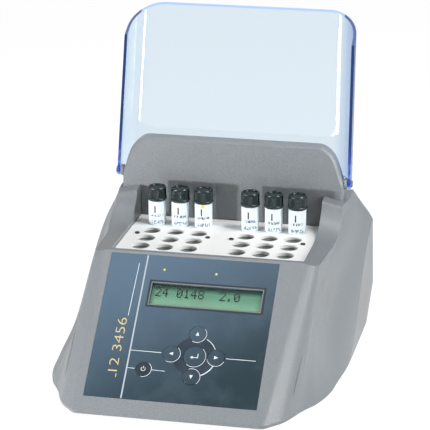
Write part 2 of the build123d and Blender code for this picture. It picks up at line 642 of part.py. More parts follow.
for side, word in ((1, "right"), (-1, "left")):
    block_x = UPPER_SHIFT + side * BLOCK_OFFSET
    sensor_x = block_x + side * -WELL_PITCH / 2
    cutout_x = block_x + side * 14.0
    with BuildPart() as heating_block:
        with BuildSketch(Plane.XY.offset(BLOCK_BOTTOM)):
            with Locations((block_x, WELLS_MIDDLE_Y)):
                RectangleRounded(BLOCK_WIDTH, BLOCK_LENGTH, 3.0)
        extrude(amount=BLOCK_TOP - BLOCK_BOTTOM)
        with BuildSketch(Plane.XY.offset(WELL_BOTTOM)):
            with Locations(*hole_grid(block_x)):
                Circle(WELL_DIAMETER / 2)
        extrude(amount=BLOCK_TOP - WELL_BOTTOM, mode=Mode.SUBTRACT)
        with BuildSketch(Plane.XY.offset(BLOCK_BOTTOM)):
            with Locations((sensor_x, WELLS_MIDDLE_Y)):
                Circle(SENSOR_DIAMETER / 2 + SENSOR_GAP)
        extrude(amount=SENSOR_FOOT + SENSOR_LENGTH - BLOCK_BOTTOM + 4.5, mode=Mode.SUBTRACT)
        with BuildSketch(Plane.XY.offset(BLOCK_TOP)):
            with Locations(*[(UPPER_SHIFT + side * abs(x), WELLS_MIDDLE_Y) for x in SCREW_COLUMNS[2:]]):
                Circle(PLATE_SCREW_DIAMETER / 2 + SENSOR_GAP)
        extrude(amount=-PLATE_SCREW_LENGTH, mode=Mode.SUBTRACT)
    heating_block.part.label = "heating_block_" + word
    export_step(heating_block.part, "parts/heating_block_" + word + ".step")

    with BuildPart() as heater_plate:
        with BuildSketch(Plane.XY.offset(BLOCK_BOTTOM - HEATER_THICKNESS)):
            with Locations((block_x, WELLS_MIDDLE_Y)):
                RectangleRounded(BLOCK_WIDTH - 4.0, BLOCK_LENGTH - 4.0, 3.0)
            with Locations((sensor_x, WELLS_MIDDLE_Y)):
                Circle(SENSOR_DIAMETER, mode=Mode.SUBTRACT)
        extrude(amount=HEATER_THICKNESS - 0.05)
    heater_plate.part.label = "heater_plate_" + word
    export_step(heater_plate.part, "parts/heater_plate_" + word + ".step")

    with BuildPart() as insulation:
        with BuildSketch(Plane.XY.offset(TRAY_FLOOR + TRAY_SHEET + 0.2)):
            with Locations((block_x, WELLS_MIDDLE_Y)):
                Rectangle(BLOCK_WIDTH + 2 * INSULATION_WALL, BLOCK_LENGTH + 2 * INSULATION_WALL)
        extrude(amount=LEDGE_TOP - 0.3 - TRAY_FLOOR - TRAY_SHEET - 0.2)
        with BuildSketch(Plane.XY.offset(BLOCK_BOTTOM - HEATER_THICKNESS - 0.1)):
            with Locations((block_x, WELLS_MIDDLE_Y)):
                RectangleRounded(BLOCK_WIDTH + 0.6, BLOCK_LENGTH + 0.6, 3.3)
        extrude(amount=LEDGE_TOP, mode=Mode.SUBTRACT)
        with BuildSketch(Plane.XY.offset(TRAY_FLOOR)):
            with Locations((sensor_x, WELLS_MIDDLE_Y)):
                Circle(SENSOR_DIAMETER)
            with Locations((cutout_x, WELLS_MIDDLE_Y)):
                Circle(8.0)
        extrude(amount=16.0, mode=Mode.SUBTRACT)
    insulation.part.label = "insulation_" + word
    export_step(insulation.part, "parts/insulation_" + word + ".step")

    with BuildPart() as temperature_sensor:
        with BuildSketch(Plane.XY.offset(SENSOR_FOOT)):
            with Locations((sensor_x, WELLS_MIDDLE_Y)):
                Circle(SENSOR_DIAMETER / 2)
        extrude(amount=SENSOR_LENGTH)
        fillet(temperature_sensor.edges().sort_by(Axis.Z)[-1], radius=1.2)
    temperature_sensor.part.label = "temperature_sensor_" + word
    export_step(temperature_sensor.part, "parts/temperature_sensor_" + word + ".step")

    with BuildPart() as thermal_cutout:
        with BuildSketch(Plane.XY.offset(BLOCK_BOTTOM - HEATER_THICKNESS - 6.0)):
            with Locations((cutout_x, WELLS_MIDDLE_Y)):
                Circle(7.0)
        extrude(amount=5.9)
        with BuildSketch(Plane.XY.offset(BLOCK_BOTTOM - HEATER_THICKNESS - 8.0)):
            with Locations((cutout_x - 3.0, WELLS_MIDDLE_Y), (cutout_x + 3.0, WELLS_MIDDLE_Y)):
                Rectangle(1.0, 4.0)
        extrude(amount=2.5)
    thermal_cutout.part.label = "thermal_cutout_" + word
    export_step(thermal_cutout.part, "parts/thermal_cutout_" + word + ".step")

with BuildPart() as block_tray:
    with BuildSketch(Plane.XY.offset(TRAY_FLOOR)):
        with Locations((UPPER_SHIFT, WELLS_MIDDLE_Y)):
            Rectangle(2 * TRAY_HALF_WIDTH, 2 * TRAY_HALF_LENGTH)
    extrude(amount=TRAY_HEIGHT)
    with BuildSketch(Plane.XY.offset(TRAY_FLOOR + TRAY_SHEET)):
        with Locations((UPPER_SHIFT, WELLS_MIDDLE_Y)):
            Rectangle(2 * TRAY_HALF_WIDTH - 2 * TRAY_SHEET, 2 * TRAY_HALF_LENGTH - 2 * TRAY_SHEET)
    extrude(amount=TRAY_HEIGHT, mode=Mode.SUBTRACT)
    with BuildSketch(Plane.XY.offset(TRAY_LEG_FOOT)):
        with Locations(*TRAY_LEGS):
            Circle(4.0)
    extrude(amount=TRAY_FLOOR - TRAY_LEG_FOOT + 0.2)
block_tray.part.label = "block_tray"
export_step(block_tray.part, "parts/block_tray.step")

# ---------------------------------------------------------------- vials
for number, column in enumerate(VIAL_COLUMNS, start=1):
    vial_x = UPPER_SHIFT + column
    vial_y = WELLS_MIDDLE_Y + 1.5 * WELL_PITCH
    base = WELL_BOTTOM + VIAL_CLEARANCE
    axis_top = base + VIAL_HEIGHT
    with BuildPart() as vial_glass:
        with BuildSketch(Plane(origin=(vial_x, vial_y, base), x_dir=(1, 0, 0), z_dir=(0, -1, 0))):
            with BuildLine():
                radius = VIAL_DIAMETER / 2
                neck = radius - VIAL_NECK
                shoulder = VIAL_HEIGHT - CAP_HEIGHT - 0.2
                Polyline((0, 0), (radius - 2.5, 0))
                TangentArc((radius - 2.5, 0), (radius, 2.5), tangent=(1, 0))
                Polyline((radius, 2.5), (radius, shoulder - 0.9), (neck, shoulder),
                         (neck, VIAL_HEIGHT - 2.6), (neck - 1.2, VIAL_HEIGHT - 2.6),
                         (neck - 1.2, shoulder - 1.2), (radius - 1.2, shoulder - 2.4),
                         (radius - 1.2, 3.0), (0, 1.6), (0, 0))
            make_face()
        revolve(axis=Axis((vial_x, vial_y, base), (0, 0, 1)))
    vial_glass.part.label = "vial_glass_" + str(number)
    export_step(vial_glass.part, "parts/vial_glass_" + str(number) + ".step")

    with BuildPart() as vial_cap:
        with BuildSketch(Plane.XY.offset(axis_top - CAP_HEIGHT)):
            with Locations((vial_x, vial_y)):
                Circle(CAP_DIAMETER / 2)
        extrude(amount=CAP_HEIGHT)
        fillet(vial_cap.edges().sort_by(Axis.Z)[-1], radius=0.9)
        with BuildSketch(Plane.XY.offset(axis_top - CAP_HEIGHT)):
            with Locations((vial_x, vial_y)):
                Circle(CAP_COLLAR / 2)
        extrude(amount=CAP_COLLAR_HEIGHT)
        with BuildSketch(Plane.XY.offset(axis_top - 1.0)):
            with Locations((vial_x, vial_y)):
                Circle(CAP_DIAMETER / 2 - 1.9)
        extrude(amount=1.5, mode=Mode.SUBTRACT)
        with BuildSketch(Plane.XY.offset(axis_top - CAP_HEIGHT)):
            with Locations((vial_x, vial_y)):
                Circle(VIAL_DIAMETER / 2 - VIAL_NECK + CAP_GAP)
        extrude(amount=CAP_HEIGHT - 2.5, mode=Mode.SUBTRACT)
    vial_cap.part.label = "vial_cap_" + str(number)
    export_step(vial_cap.part, "parts/vial_cap_" + str(number) + ".step")

# ---------------------------------------------------------------- control panel
with BuildPart() as control_panel:
    with BuildSketch(PANEL):
        Rectangle(FOIL_WIDTH, FOIL_LENGTH)
        with Locations(DISPLAY_MIDDLE):
            Rectangle(DISPLAY_SIZE[0], DISPLAY_SIZE[1], mode=Mode.SUBTRACT)
        for place_x, place_y, radius in KEYS.values():
            with Locations((place_x, place_y)):
                Circle(radius + KEY_GAP, mode=Mode.SUBTRACT)
        for place in LED_PLACES.values():
            with Locations(place):
                Circle(LED_DIAMETER / 2 + 0.1, mode=Mode.SUBTRACT)
    extrude(amount=-FOIL_THICKNESS + 0.05)
control_panel.part.label = "control_panel"
export_step(control_panel.part, "parts/control_panel.step")

with BuildPart() as display_window:
    with BuildSketch(PANEL.offset(-FOIL_THICKNESS + 0.02)):
        with Locations(DISPLAY_MIDDLE):
            Rectangle(DISPLAY_SIZE[0] - 0.2, DISPLAY_SIZE[1] - 0.2)
    extrude(amount=FOIL_THICKNESS + 0.2)
    with BuildSketch(PANEL.offset(-FOIL_THICKNESS + 0.02)):
        with Locations(DISPLAY_MIDDLE):
            Rectangle(LCD_VIEW[0], LCD_VIEW[1])
    extrude(amount=-1.4)
display_window.part.label = "display_window"
export_step(display_window.part, "parts/display_window.step")

with BuildPart() as lcd_module:
    with BuildSketch(PANEL.offset(-BOARD_DROP + 0.05)):
        with Locations(DISPLAY_MIDDLE):
            Rectangle(DISPLAY_SIZE[0] + 1.0, DISPLAY_SIZE[1] + 2.0)
    extrude(amount=BOARD_DROP - SKIN - 0.6)
    with BuildSketch(PANEL.offset(-SKIN - 0.6)):
        with Locations(DISPLAY_MIDDLE):
            Rectangle(LCD_VIEW[0] - 0.6, LCD_VIEW[1] - 0.6)
    extrude(amount=SKIN - FOIL_THICKNESS - 1.0)
lcd_module.part.label = "lcd_module"
export_step(lcd_module.part, "parts/lcd_module.step")

for word, (place_x, place_y, radius) in KEYS.items():
    with BuildPart() as key:
        with BuildSketch(PANEL.offset(KEY_RAISE)):
            with Locations((place_x, place_y)):
                Circle(radius)
        extrude(amount=-(KEY_RAISE + SKIN + 0.4))
        fillet(key.edges().sort_by(Axis((0, 0, 0), PANEL.z_dir))[-1], radius=0.35)
        with BuildSketch(PANEL.offset(-SKIN - 0.3)):
            with Locations((place_x, place_y)):
                Circle(3.0)
        extrude(amount=-(BOARD_DROP - SKIN - 0.3 - 1.2 - KEY_TRAVEL - 0.2))
    key.part.label = "key_" + word
    export_step(key.part, "parts/key_" + word + ".step")

for word, place in LED_PLACES.items():
    with BuildPart() as status_led:
        with BuildSketch(PANEL.offset(-BOARD_DROP + 0.05)):
            with Locations(place):
                Circle(LED_DIAMETER / 2)
        extrude(amount=BOARD_DROP + 0.05)
        with BuildSketch(PANEL.offset(-BOARD_DROP + 0.05)):
            with Locations(place):
                Circle(LED_DIAMETER / 2 + 0.6)
        extrude(amount=2.0)
    status_led.part.label = "status_led_" + word
    export_step(status_led.part, "parts/status_led_" + word + ".step")

with BuildPart() as display_board:
    with BuildSketch(PANEL.offset(-BOARD_DROP)):
        with Locations((6.0, -0.5)):
            Rectangle(144.0, 128.0)
        with Locations(*BOARD_POSTS):
            Circle(1.6, mode=Mode.SUBTRACT)
    extrude(amount=-BOARD_THICKNESS)
    with BuildSketch(PANEL.offset(-BOARD_DROP - BOARD_THICKNESS)):
        with Locations((30.0, -20.0)):
            Rectangle(18.0, 18.0)
        with Locations((-20.0, 30.0), (0.0, 30.0)):
            Rectangle(8.0, 12.0)
    extrude(amount=-2.0)
display_board.part.label = "display_board"
export_step(display_board.part, "parts/display_board.step")

with BuildPart() as key_domes:
    for place_x, place_y, radius in KEYS.values():
        with BuildSketch(PANEL.offset(-BOARD_DROP)):
            with Locations((place_x, place_y)):
                Circle(4.0)
        extrude(amount=1.2, taper=30)
key_domes.part.label = "key_domes"
export_step(key_domes.part, "parts/key_domes.step")

board_back = Plane(
    origin=PANEL.offset(-BOARD_DROP - BOARD_THICKNESS).origin,
    x_dir=(-1, 0, 0),
    z_dir=PANEL.z_dir * -1,
)
screw("board_screws", [(-x, y) for x, y in BOARD_POSTS], board_back, 4.6, 2.4,
      BOARD_THICKNESS + 4.0)

# ---------------------------------------------------------------- base and its electrics
PAN_THICKNESS = 1.5
PAN_LOW = SKIN_BOTTOM + 0.4
PAN_TOP = PAN_LOW + PAN_THICKNESS
PAN_OUTLINE = ((74.0, -146.5), (86.0, -141.0), (96.5, -126.0), (101.3, -110.0), (111.0, -92.0),
               (118.4, -72.0), (122.4, -46.0), (126.5, -12.0), (128.5, 40.0), (128.8, 104.0))
FEET = ((-86.0, -113.0), (86.0, -113.0), (-110.0, 74.0), (110.0, 74.0))
FOOT_DIAMETER = 17.0
MAIN_BOARD_MIDDLE = (42.0, -74.0)
MAIN_BOARD_SIZE = (106.0, 76.0)
MAIN_BOARD_LOW = 13.0
TRANSFORMER_MIDDLE = (-56.0, -62.0)

with BuildPart() as base_pan:
    with BuildSketch(Plane.XY.offset(PAN_LOW)):
        with BuildLine():
            Polyline(*PAN_OUTLINE, *reversed(mirrored(PAN_OUTLINE, 0.0)), close=True)
        make_face()
        with Locations(*PAN_SCREWS):
            Circle(1.8, mode=Mode.SUBTRACT)
        with Locations(*FEET):
            Circle(2.2, mode=Mode.SUBTRACT)
        for slot_y in (-8.0, 8.0, 24.0, 40.0, 56.0):
            with Locations((UPPER_SHIFT - 44.0, slot_y), (UPPER_SHIFT + 44.0, slot_y)):
                SlotOverall(46.0, 4.6, mode=Mode.SUBTRACT)
    extrude(amount=PAN_THICKNESS)
    with BuildSketch(Plane.XY.offset(PAN_TOP)):
        for post_x in (-1, 1):
            for post_y in (-1, 1):
                with Locations((MAIN_BOARD_MIDDLE[0] + post_x * (MAIN_BOARD_SIZE[0] / 2 - 5.0),
                                MAIN_BOARD_MIDDLE[1] + post_y * (MAIN_BOARD_SIZE[1] / 2 - 5.0))):
                    Circle(3.0)
    extrude(amount=MAIN_BOARD_LOW - PAN_TOP)
    with BuildSketch(Plane.XY.offset(PAN_TOP)):
        with Locations(*TRAY_LEGS):
            Circle(4.5)
    extrude(amount=TRAY_LEG_FOOT - PAN_TOP)
base_pan.part.label = "base_pan"
export_step(base_pan.part, "parts/base_pan.step")

with BuildPart() as feet:
    with BuildSketch(Plane.XY):
        with Locations(*FEET):
            Circle(FOOT_DIAMETER / 2)
    extrude(amount=PAN_LOW)
    with BuildSketch(Plane.XY.offset(PAN_LOW)):
        with Locations(*FEET):
            Circle(2.1)
    extrude(amount=PAN_THICKNESS + 0.1)
    with BuildSketch(Plane.XY.offset(PAN_TOP + 0.1)):
        with Locations(*FEET):
            Circle(3.4)
    extrude(amount=1.6)
    chamfer(feet.edges().group_by(Axis.Z)[0], length=0.8)
feet.part.label = "feet"
export_step(feet.part, "parts/feet.step")

pan_under = Plane(origin=(0, 0, PAN_LOW), x_dir=(-1, 0, 0), z_dir=(0, 0, -1))
screw("base_screws", [(-x, y) for x, y in PAN_SCREWS], pan_under, 6.0, 3.0, 10.0)

with BuildPart() as main_board:
    with BuildSketch(Plane.XY.offset(MAIN_BOARD_LOW)):
        with Locations(MAIN_BOARD_MIDDLE):
            Rectangle(*MAIN_BOARD_SIZE)
    extrude(amount=BOARD_THICKNESS)
    board_top = MAIN_BOARD_LOW + BOARD_THICKNESS
    with Locations(
        Location((MAIN_BOARD_MIDDLE[0] - 34.0, MAIN_BOARD_MIDDLE[1] + 18.0, board_top)),
        Location((MAIN_BOARD_MIDDLE[0] - 18.0, MAIN_BOARD_MIDDLE[1] + 18.0, board_top)),
    ):
        Cylinder(6.0, 18.0, align=(Align.CENTER, Align.CENTER, Align.MIN))
    with Locations(
        Location((MAIN_BOARD_MIDDLE[0] + 14.0, MAIN_BOARD_MIDDLE[1] + 20.0, board_top)),
        Location((MAIN_BOARD_MIDDLE[0] + 36.0, MAIN_BOARD_MIDDLE[1] + 20.0, board_top)),
    ):
        Box(16.0, 22.0, 15.0, align=(Align.CENTER, Align.CENTER, Align.MIN))
    with Locations(Location((MAIN_BOARD_MIDDLE[0] + 4.0, MAIN_BOARD_MIDDLE[1] - 10.0, board_top))):
        Box(22.0, 22.0, 2.4, align=(Align.CENTER, Align.CENTER, Align.MIN))
main_board.part.label = "main_board"
export_step(main_board.part, "parts/main_board.step")

with BuildPart() as transformer:
    with Locations(Location((TRANSFORMER_MIDDLE[0], TRANSFORMER_MIDDLE[1], PAN_TOP))):
        Box(58.0, 26.0, 46.0, align=(Align.CENTER, Align.CENTER, Align.MIN))
    with Locations(Location((TRANSFORMER_MIDDLE[0], TRANSFORMER_MIDDLE[1], PAN_TOP + 23.0))):
        Box(38.0, 40.0, 30.0)
    fillet(transformer.edges().filter_by(Axis.Z), radius=1.5)
transformer.part.label = "transformer"
export_step(transformer.part, "parts/transformer.step")

ribbon_low = MAIN_BOARD_LOW + BOARD_THICKNESS
ribbon_high = PANEL.offset(-BOARD_DROP - BOARD_THICKNESS).from_local_coords((0, -52.0, 0))
with BuildPart() as ribbon_cable:
    with BuildSketch(Plane(origin=(46.0, 0, 0), x_dir=(0, 1, 0), z_dir=(1, 0, 0))):
        with BuildLine() as ribbon_path:
            Polyline(
                (-98.0, ribbon_low + 0.1), (-98.0, ribbon_low + 2.4),
                (-104.0, ribbon_low + 6.4), (ribbon_high.Y + 1.4, ribbon_high.Z - 1.6),
            )
            offset(amount=0.5, side=Side.LEFT)
        make_face()
    extrude(amount=9.0, both=True)
ribbon_cable.part.label = "ribbon_cable"
export_step(ribbon_cable.part, "parts/ribbon_cable.step")

# ---------------------------------------------------------------- rear panel and mains parts
PANEL_OUT = -0.2
INLET_POCKET = (24.6, 16.4)
FUSE_DEPTH = 22.0
FUSE_TRAVEL = 26.0
ROCKER_HALF = 5.6
SWITCH_WELL = (25.0, 14.0)

with BuildPart() as rear_panel:
    with BuildSketch(REAR.offset(PANEL_OUT - REAR_PANEL_THICKNESS + 0.25)):
        Rectangle(REAR_PANEL_WIDTH, REAR_PANEL_HEIGHT)
        with Locations((INLET_X, 0)):
            Rectangle(INLET_SIZE[0] - 3.0, INLET_SIZE[1] - 3.0, mode=Mode.SUBTRACT)
        with Locations((FUSE_X, 0)):
            Rectangle(FUSE_SIZE[0] - 3.0, FUSE_SIZE[1] - 3.0, mode=Mode.SUBTRACT)
        with Locations((SWITCH_X, 0)):
            Rectangle(SWITCH_SIZE[0] - 3.0, SWITCH_SIZE[1] - 3.0, mode=Mode.SUBTRACT)
        with Locations(*REAR_SCREWS):
            Circle(1.7, mode=Mode.SUBTRACT)
    extrude(amount=REAR_PANEL_THICKNESS - 0.25)
rear_panel.part.label = "rear_panel"
export_step(rear_panel.part, "parts/rear_panel.step")
screw("rear_panel_screws", REAR_SCREWS, REAR.offset(PANEL_OUT), 5.6, 2.8, 8.0, 1.6)

face_out = REAR.offset(PANEL_OUT)


def flanged_housing(middle, size, depth, pocket, pocket_depth):
    """A snap-in mains part: a flange outside the panel, a box behind it and a pocket."""
    with BuildPart() as body:
        with BuildSketch(face_out):
            with Locations((middle, 0)):
                RectangleRounded(size[0], size[1], 1.5)
        extrude(amount=2.0)
        with BuildSketch(face_out):
            with Locations((middle, 0)):
                Rectangle(size[0] - 3.4, size[1] - 3.4)
        extrude(amount=-depth)
        with BuildSketch(face_out.offset(2.0)):
            with Locations((middle, 0)):
                RectangleRounded(pocket[0], pocket[1], 1.0)
        extrude(amount=-pocket_depth, mode=Mode.SUBTRACT)
    return body.part


with BuildPart() as mains_inlet:
    add(flanged_housing(INLET_X, INLET_SIZE, 24.0, INLET_POCKET, 17.0))
    with BuildSketch(face_out.offset(-15.2)):
        with Locations((INLET_X - 7.0, -1.5), (INLET_X, 2.0), (INLET_X + 7.0, -1.5)):
            Rectangle(2.0, 4.0)
    extrude(amount=13.0)
mains_inlet.part.label = "mains_inlet"
export_step(mains_inlet.part, "parts/mains_inlet.step")

FUSE_POCKET = (18.0, 9.0)
with BuildPart() as fuse_holder:
    add(flanged_housing(FUSE_X, FUSE_SIZE, FUSE_DEPTH + 3.0, FUSE_POCKET, FUSE_DEPTH + 2.0))
fuse_holder.part.label = "fuse_holder"
export_step(fuse_holder.part, "parts/fuse_holder.step")

with BuildPart() as fuse_drawer:
    with BuildSketch(face_out.offset(2.4)):
        with Locations((FUSE_X, 0)):
            RectangleRounded(FUSE_POCKET[0] + 3.0, FUSE_POCKET[1] + 3.0, 1.0)
    extrude(amount=1.4)
    with BuildSketch(face_out.offset(2.4)):
        with Locations((FUSE_X, 0)):
            Rectangle(FUSE_POCKET[0] - 0.8, FUSE_POCKET[1] - 0.8)
    extrude(amount=-FUSE_DEPTH)
    with BuildSketch(face_out.offset(1.0)):
        with Locations((FUSE_X - 4.2, 0), (FUSE_X + 4.2, 0)):
            Rectangle(6.0, 6.0)
    extrude(amount=-FUSE_DEPTH + 4.0, mode=Mode.SUBTRACT)
fuse_drawer.part.label = "fuse_drawer"
export_step(fuse_drawer.part, "parts/fuse_drawer.step")

with BuildPart() as switch_housing:
    add(flanged_housing(SWITCH_X, SWITCH_SIZE, 20.0, SWITCH_WELL, 13.0))
    with BuildSketch(Plane(face_out.from_local_coords((SWITCH_X, 0, 0)), x_dir=(0, 1, 0),
                           z_dir=(1, 0, 0))):
        Circle(1.5)
    extrude(amount=SWITCH_WELL[0] / 2 + 0.5, both=True)
switch_housing.part.label = "switch_housing"
export_step(switch_housing.part, "parts/switch_housing.step")

with BuildPart() as power_rocker:
    rocker_plane = Plane(
        origin=face_out.from_local_coords((SWITCH_X, 0, 0)), x_dir=REAR.y_dir, z_dir=(-1, 0, 0)
    )
    with BuildSketch(rocker_plane):
        with BuildLine():
            Polyline((-ROCKER_HALF, 2.0), (0.0, 3.4), (ROCKER_HALF, 4.8), (ROCKER_HALF, -0.5),
                     (2.6, -3.6), (-2.6, -3.6), (-ROCKER_HALF, -2.5), close=True)
        make_face()
        Circle(1.5 + HINGE_RUNNING_GAP, mode=Mode.SUBTRACT)
    extrude(amount=SWITCH_WELL[0] / 2 - 0.5, both=True)
power_rocker.part.label = "power_rocker"
export_step(power_rocker.part, "parts/power_rocker.step")
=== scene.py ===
"""Looks of a chemical oxygen demand reactor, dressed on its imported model.

The camera comes first, then the finishes, then one class for each sub-assembly. All sizes in the
classes are millimetres in the model's own frame and are turned into metres when a mesh is made.
"""

import logging
import math
from collections.abc import Sequence
from dataclasses import dataclass, field
from enum import Enum

import bpy
import numpy as np
from mathutils import Matrix, Vector


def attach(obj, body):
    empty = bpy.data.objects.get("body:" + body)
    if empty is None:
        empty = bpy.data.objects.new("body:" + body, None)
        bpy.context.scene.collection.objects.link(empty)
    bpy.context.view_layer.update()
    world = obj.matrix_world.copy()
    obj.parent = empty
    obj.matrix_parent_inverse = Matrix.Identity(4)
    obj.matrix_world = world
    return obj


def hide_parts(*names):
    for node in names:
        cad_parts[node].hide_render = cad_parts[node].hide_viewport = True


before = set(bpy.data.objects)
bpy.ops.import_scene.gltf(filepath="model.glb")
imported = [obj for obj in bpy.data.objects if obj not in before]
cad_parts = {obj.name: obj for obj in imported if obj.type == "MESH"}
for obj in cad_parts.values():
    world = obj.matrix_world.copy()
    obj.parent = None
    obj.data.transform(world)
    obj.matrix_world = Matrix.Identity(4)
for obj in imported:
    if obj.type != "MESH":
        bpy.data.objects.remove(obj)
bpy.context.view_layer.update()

log = logging.getLogger("reactor")
MM = 0.001
Array = np.ndarray
Colour = tuple[float, float, float]


# ------------------------------------------------------------------------------ small helpers
def paint(red: float, green: float, blue: float) -> Colour:
    """Linear colour of a display colour given from 0 to 255.

    Args:
        red: Red, 0 to 255.
        green: Green, 0 to 255.
        blue: Blue, 0 to 255.

    Returns:
        The linear red, green and blue.
    """
    share = np.array([red, green, blue]) / 255.0
    linear = np.where(share <= 0.04045, share / 12.92, ((share + 0.055) / 1.055) ** 2.4)
    return tuple(float(part) for part in linear)


@dataclass(frozen=True)
class Place:
    """A flat place on the object: its origin and its two directions, in millimetres."""

    origin: tuple[float, float, float]
    across: tuple[float, float, float]
    along: tuple[float, float, float]

    @property
    def normal(self) -> Array:
        """Direction that points out of the place."""
        return np.cross(self.across, self.along)

    def world(self, flat: Array, lift: float | Array = 0.0) -> Array:
        """Points of the place in the model's frame: origin + x across + y along + lift normal.

        Args:
            flat: Rows of (x, y) on the place, in millimetres.
            lift: Height above the place, one number or one for each row.

        Returns:
            Rows of (x, y, z), in millimetres.
        """
        flat = np.atleast_2d(np.asarray(flat, float))
        height = np.broadcast_to(np.asarray(lift, float), (len(flat),))
        return (
            np.array(self.origin)
            + flat[:, :1] * np.array(self.across)
            + flat[:, 1:] * np.array(self.along)
            + height[:, None] * self.normal
        )


PANEL_SLOPE = math.radians(42.32)
PANEL = Place((-0.6, -89.65, 63.5), (1.0, 0.0, 0.0), (0.0, math.cos(PANEL_SLOPE), math.sin(PANEL_SLOPE)))
REAR_LEAN = math.atan2(152.1 - 137.5, 105.6 - 31.3)
REAR = Place((0.0, 144.8, 68.45), (-1.0, 0.0, 0.0), (0.0, -math.sin(REAR_LEAN), math.cos(REAR_LEAN)))
UPPER_SHIFT = 8.1


# ------------------------------------------------------------------------------ meshes
def grid_faces(rows: int, columns: int, wrap_rows: bool, wrap_columns: bool) -> Array:
    """Quads of a grid of points that is numbered row by row.

    Args:
        rows: Number of rows.
        columns: Number of points in a row.
        wrap_rows: Whether the last row joins the first.
        wrap_columns: Whether the last point of a row joins its first.

    Returns:
        Rows of four point numbers.
    """
    row = np.arange(rows if wrap_rows else rows - 1)[:, None]
    column = np.arange(columns if wrap_columns else columns - 1)[None, :]
    next_row, next_column = (row + 1) % rows, (column + 1) % columns
    corners = (
        row * columns + column,
        row * columns + next_column,
        next_row * columns + next_column,
        next_row * columns + column,
    )
    return np.stack([corner.ravel() for corner in corners], axis=1)


def make_piece(
    name: str,
    points: Array,
    faces: Sequence[Sequence[int]],
    material: bpy.types.Material,
    uv: Array | None = None,
    smooth: bool = True,
) -> bpy.types.Object:
    """Puts points in millimetres and faces into a new mesh object at the origin.

    Args:
        name: The piece's name.
        points: Rows of (x, y, z), in millimetres.
        faces: Point numbers of each face.
        material: The finish of the piece.
        uv: Rows of (u, v), one for each point, for a pattern that follows the surface.
        smooth: Whether the faces are shaded smoothly, with corners over 35 degrees kept.

    Returns:
        The new object.
    """
    mesh = bpy.data.meshes.new(name)
    mesh.from_pydata((np.asarray(points, float) * MM).tolist(), [], [list(map(int, f)) for f in faces])
    if uv is not None:
        corner_points = np.zeros(len(mesh.loops), dtype=np.int32)
        mesh.loops.foreach_get("vertex_index", corner_points)
        layer = mesh.uv_layers.new(name="pattern")
        layer.data.foreach_set("uv", np.asarray(uv, np.float32)[corner_points].ravel())
    mesh.validate()
    mesh.update()
    if smooth:
        mesh.shade_smooth()
        mesh.set_sharp_from_angle(angle=math.radians(35.0))
    mesh.materials.append(material)
    piece = bpy.data.objects.new(name, mesh)
    bpy.context.scene.collection.objects.link(piece)
    return piece


def ribbon_plate(
    place: Place, inner: Array, outer: Array, low: float, high: float, closed: bool
) -> tuple[Array, list[list[int]]]:
    """Thin plate between two curves of a place: a rectangle carried along both curves.

    Args:
        place: The flat place that the curves lie on.
        inner: Rows of (x, y) of one edge.
        outer: As many rows of (x, y) of the other edge.
        low: Height of the underside above the place.
        high: Height of the upper side above the place.
        closed: Whether the last row joins the first; otherwise the two ends get a cap.

    Returns:
        The points and the faces of the closed plate.
    """
    corners = [place.world(inner, low), place.world(outer, low), place.world(outer, high), place.world(inner, high)]
    points = np.stack(corners, axis=1).reshape(-1, 3)
    count = len(inner)
    faces = grid_faces(count, 4, closed, True).tolist()
    if not closed:
        faces += [[3, 2, 1, 0], [4 * count - 4, 4 * count - 3, 4 * count - 2, 4 * count - 1]]
    return points, faces


def arc(centre: tuple[float, float], radius: float, start: float, end: float, steps: int = 48) -> Array:
    """Points of a circle's arc: centre + radius (cos t, sin t), t from start to end in degrees."""
    turn = np.radians(np.linspace(start, end, steps))
    return np.array(centre) + radius * np.stack([np.cos(turn), np.sin(turn)], axis=1)


def outline_plate(place: Place, outline: Array, low: float, high: float) -> tuple[Array, list[list[int]]]:
    """Plate with one outline: the outline at two heights, with a face on each and a wall round them.

    Args:
        place: The flat place that the outline lies on.
        outline: Rows of (x, y), turning left as seen from above the place.
        low: Height of the underside.
        high: Height of the upper side.

    Returns:
        The points and the faces of the closed plate.
    """
    count = len(outline)
    points = np.concatenate([place.world(outline, low), place.world(outline, high)])
    ring = np.arange(count)
    after = (ring + 1) % count
    walls = np.stack([ring, after, after + count, ring + count], axis=1).tolist()
    return points, [list(range(count))[::-1], list(range(count, 2 * count)), *walls]


def joined(parts: Sequence[tuple[Array, list[list[int]]]]) -> tuple[Array, list[list[int]]]:
    """Several sets of points and faces as one.

    Args:
        parts: Pairs of points and faces.

    Returns:
        All points, and the faces with their point numbers moved on.
    """
    points, faces, start = [], [], 0
    for some_points, some_faces in parts:
        points.append(some_points)
        faces += [[corner + start for corner in face] for face in some_faces]
        start += len(some_points)
    return np.concatenate(points), faces


def line_plate(
    place: Place, start: tuple[float, float], end: tuple[float, float], width: float, low: float, high: float
) -> tuple[Array, list[list[int]]]:
    """Straight printed line: a long rectangle about the run from start to end.

    Args:
        place: The flat place that it lies on.
        start: One end of its middle line.
        end: The other end.
        width: Its width.
        low: Height of its underside.
        high: Height of its upper side.

    Returns:
        The points and the faces.
    """
    run = np.array([start, end], float)
    direction = (run[1] - run[0]) / np.linalg.norm(run[1] - run[0])
    aside = np.array([-direction[1], direction[0]]) * width / 2
    return ribbon_plate(place, run + aside, run - aside, low, high, closed=False)


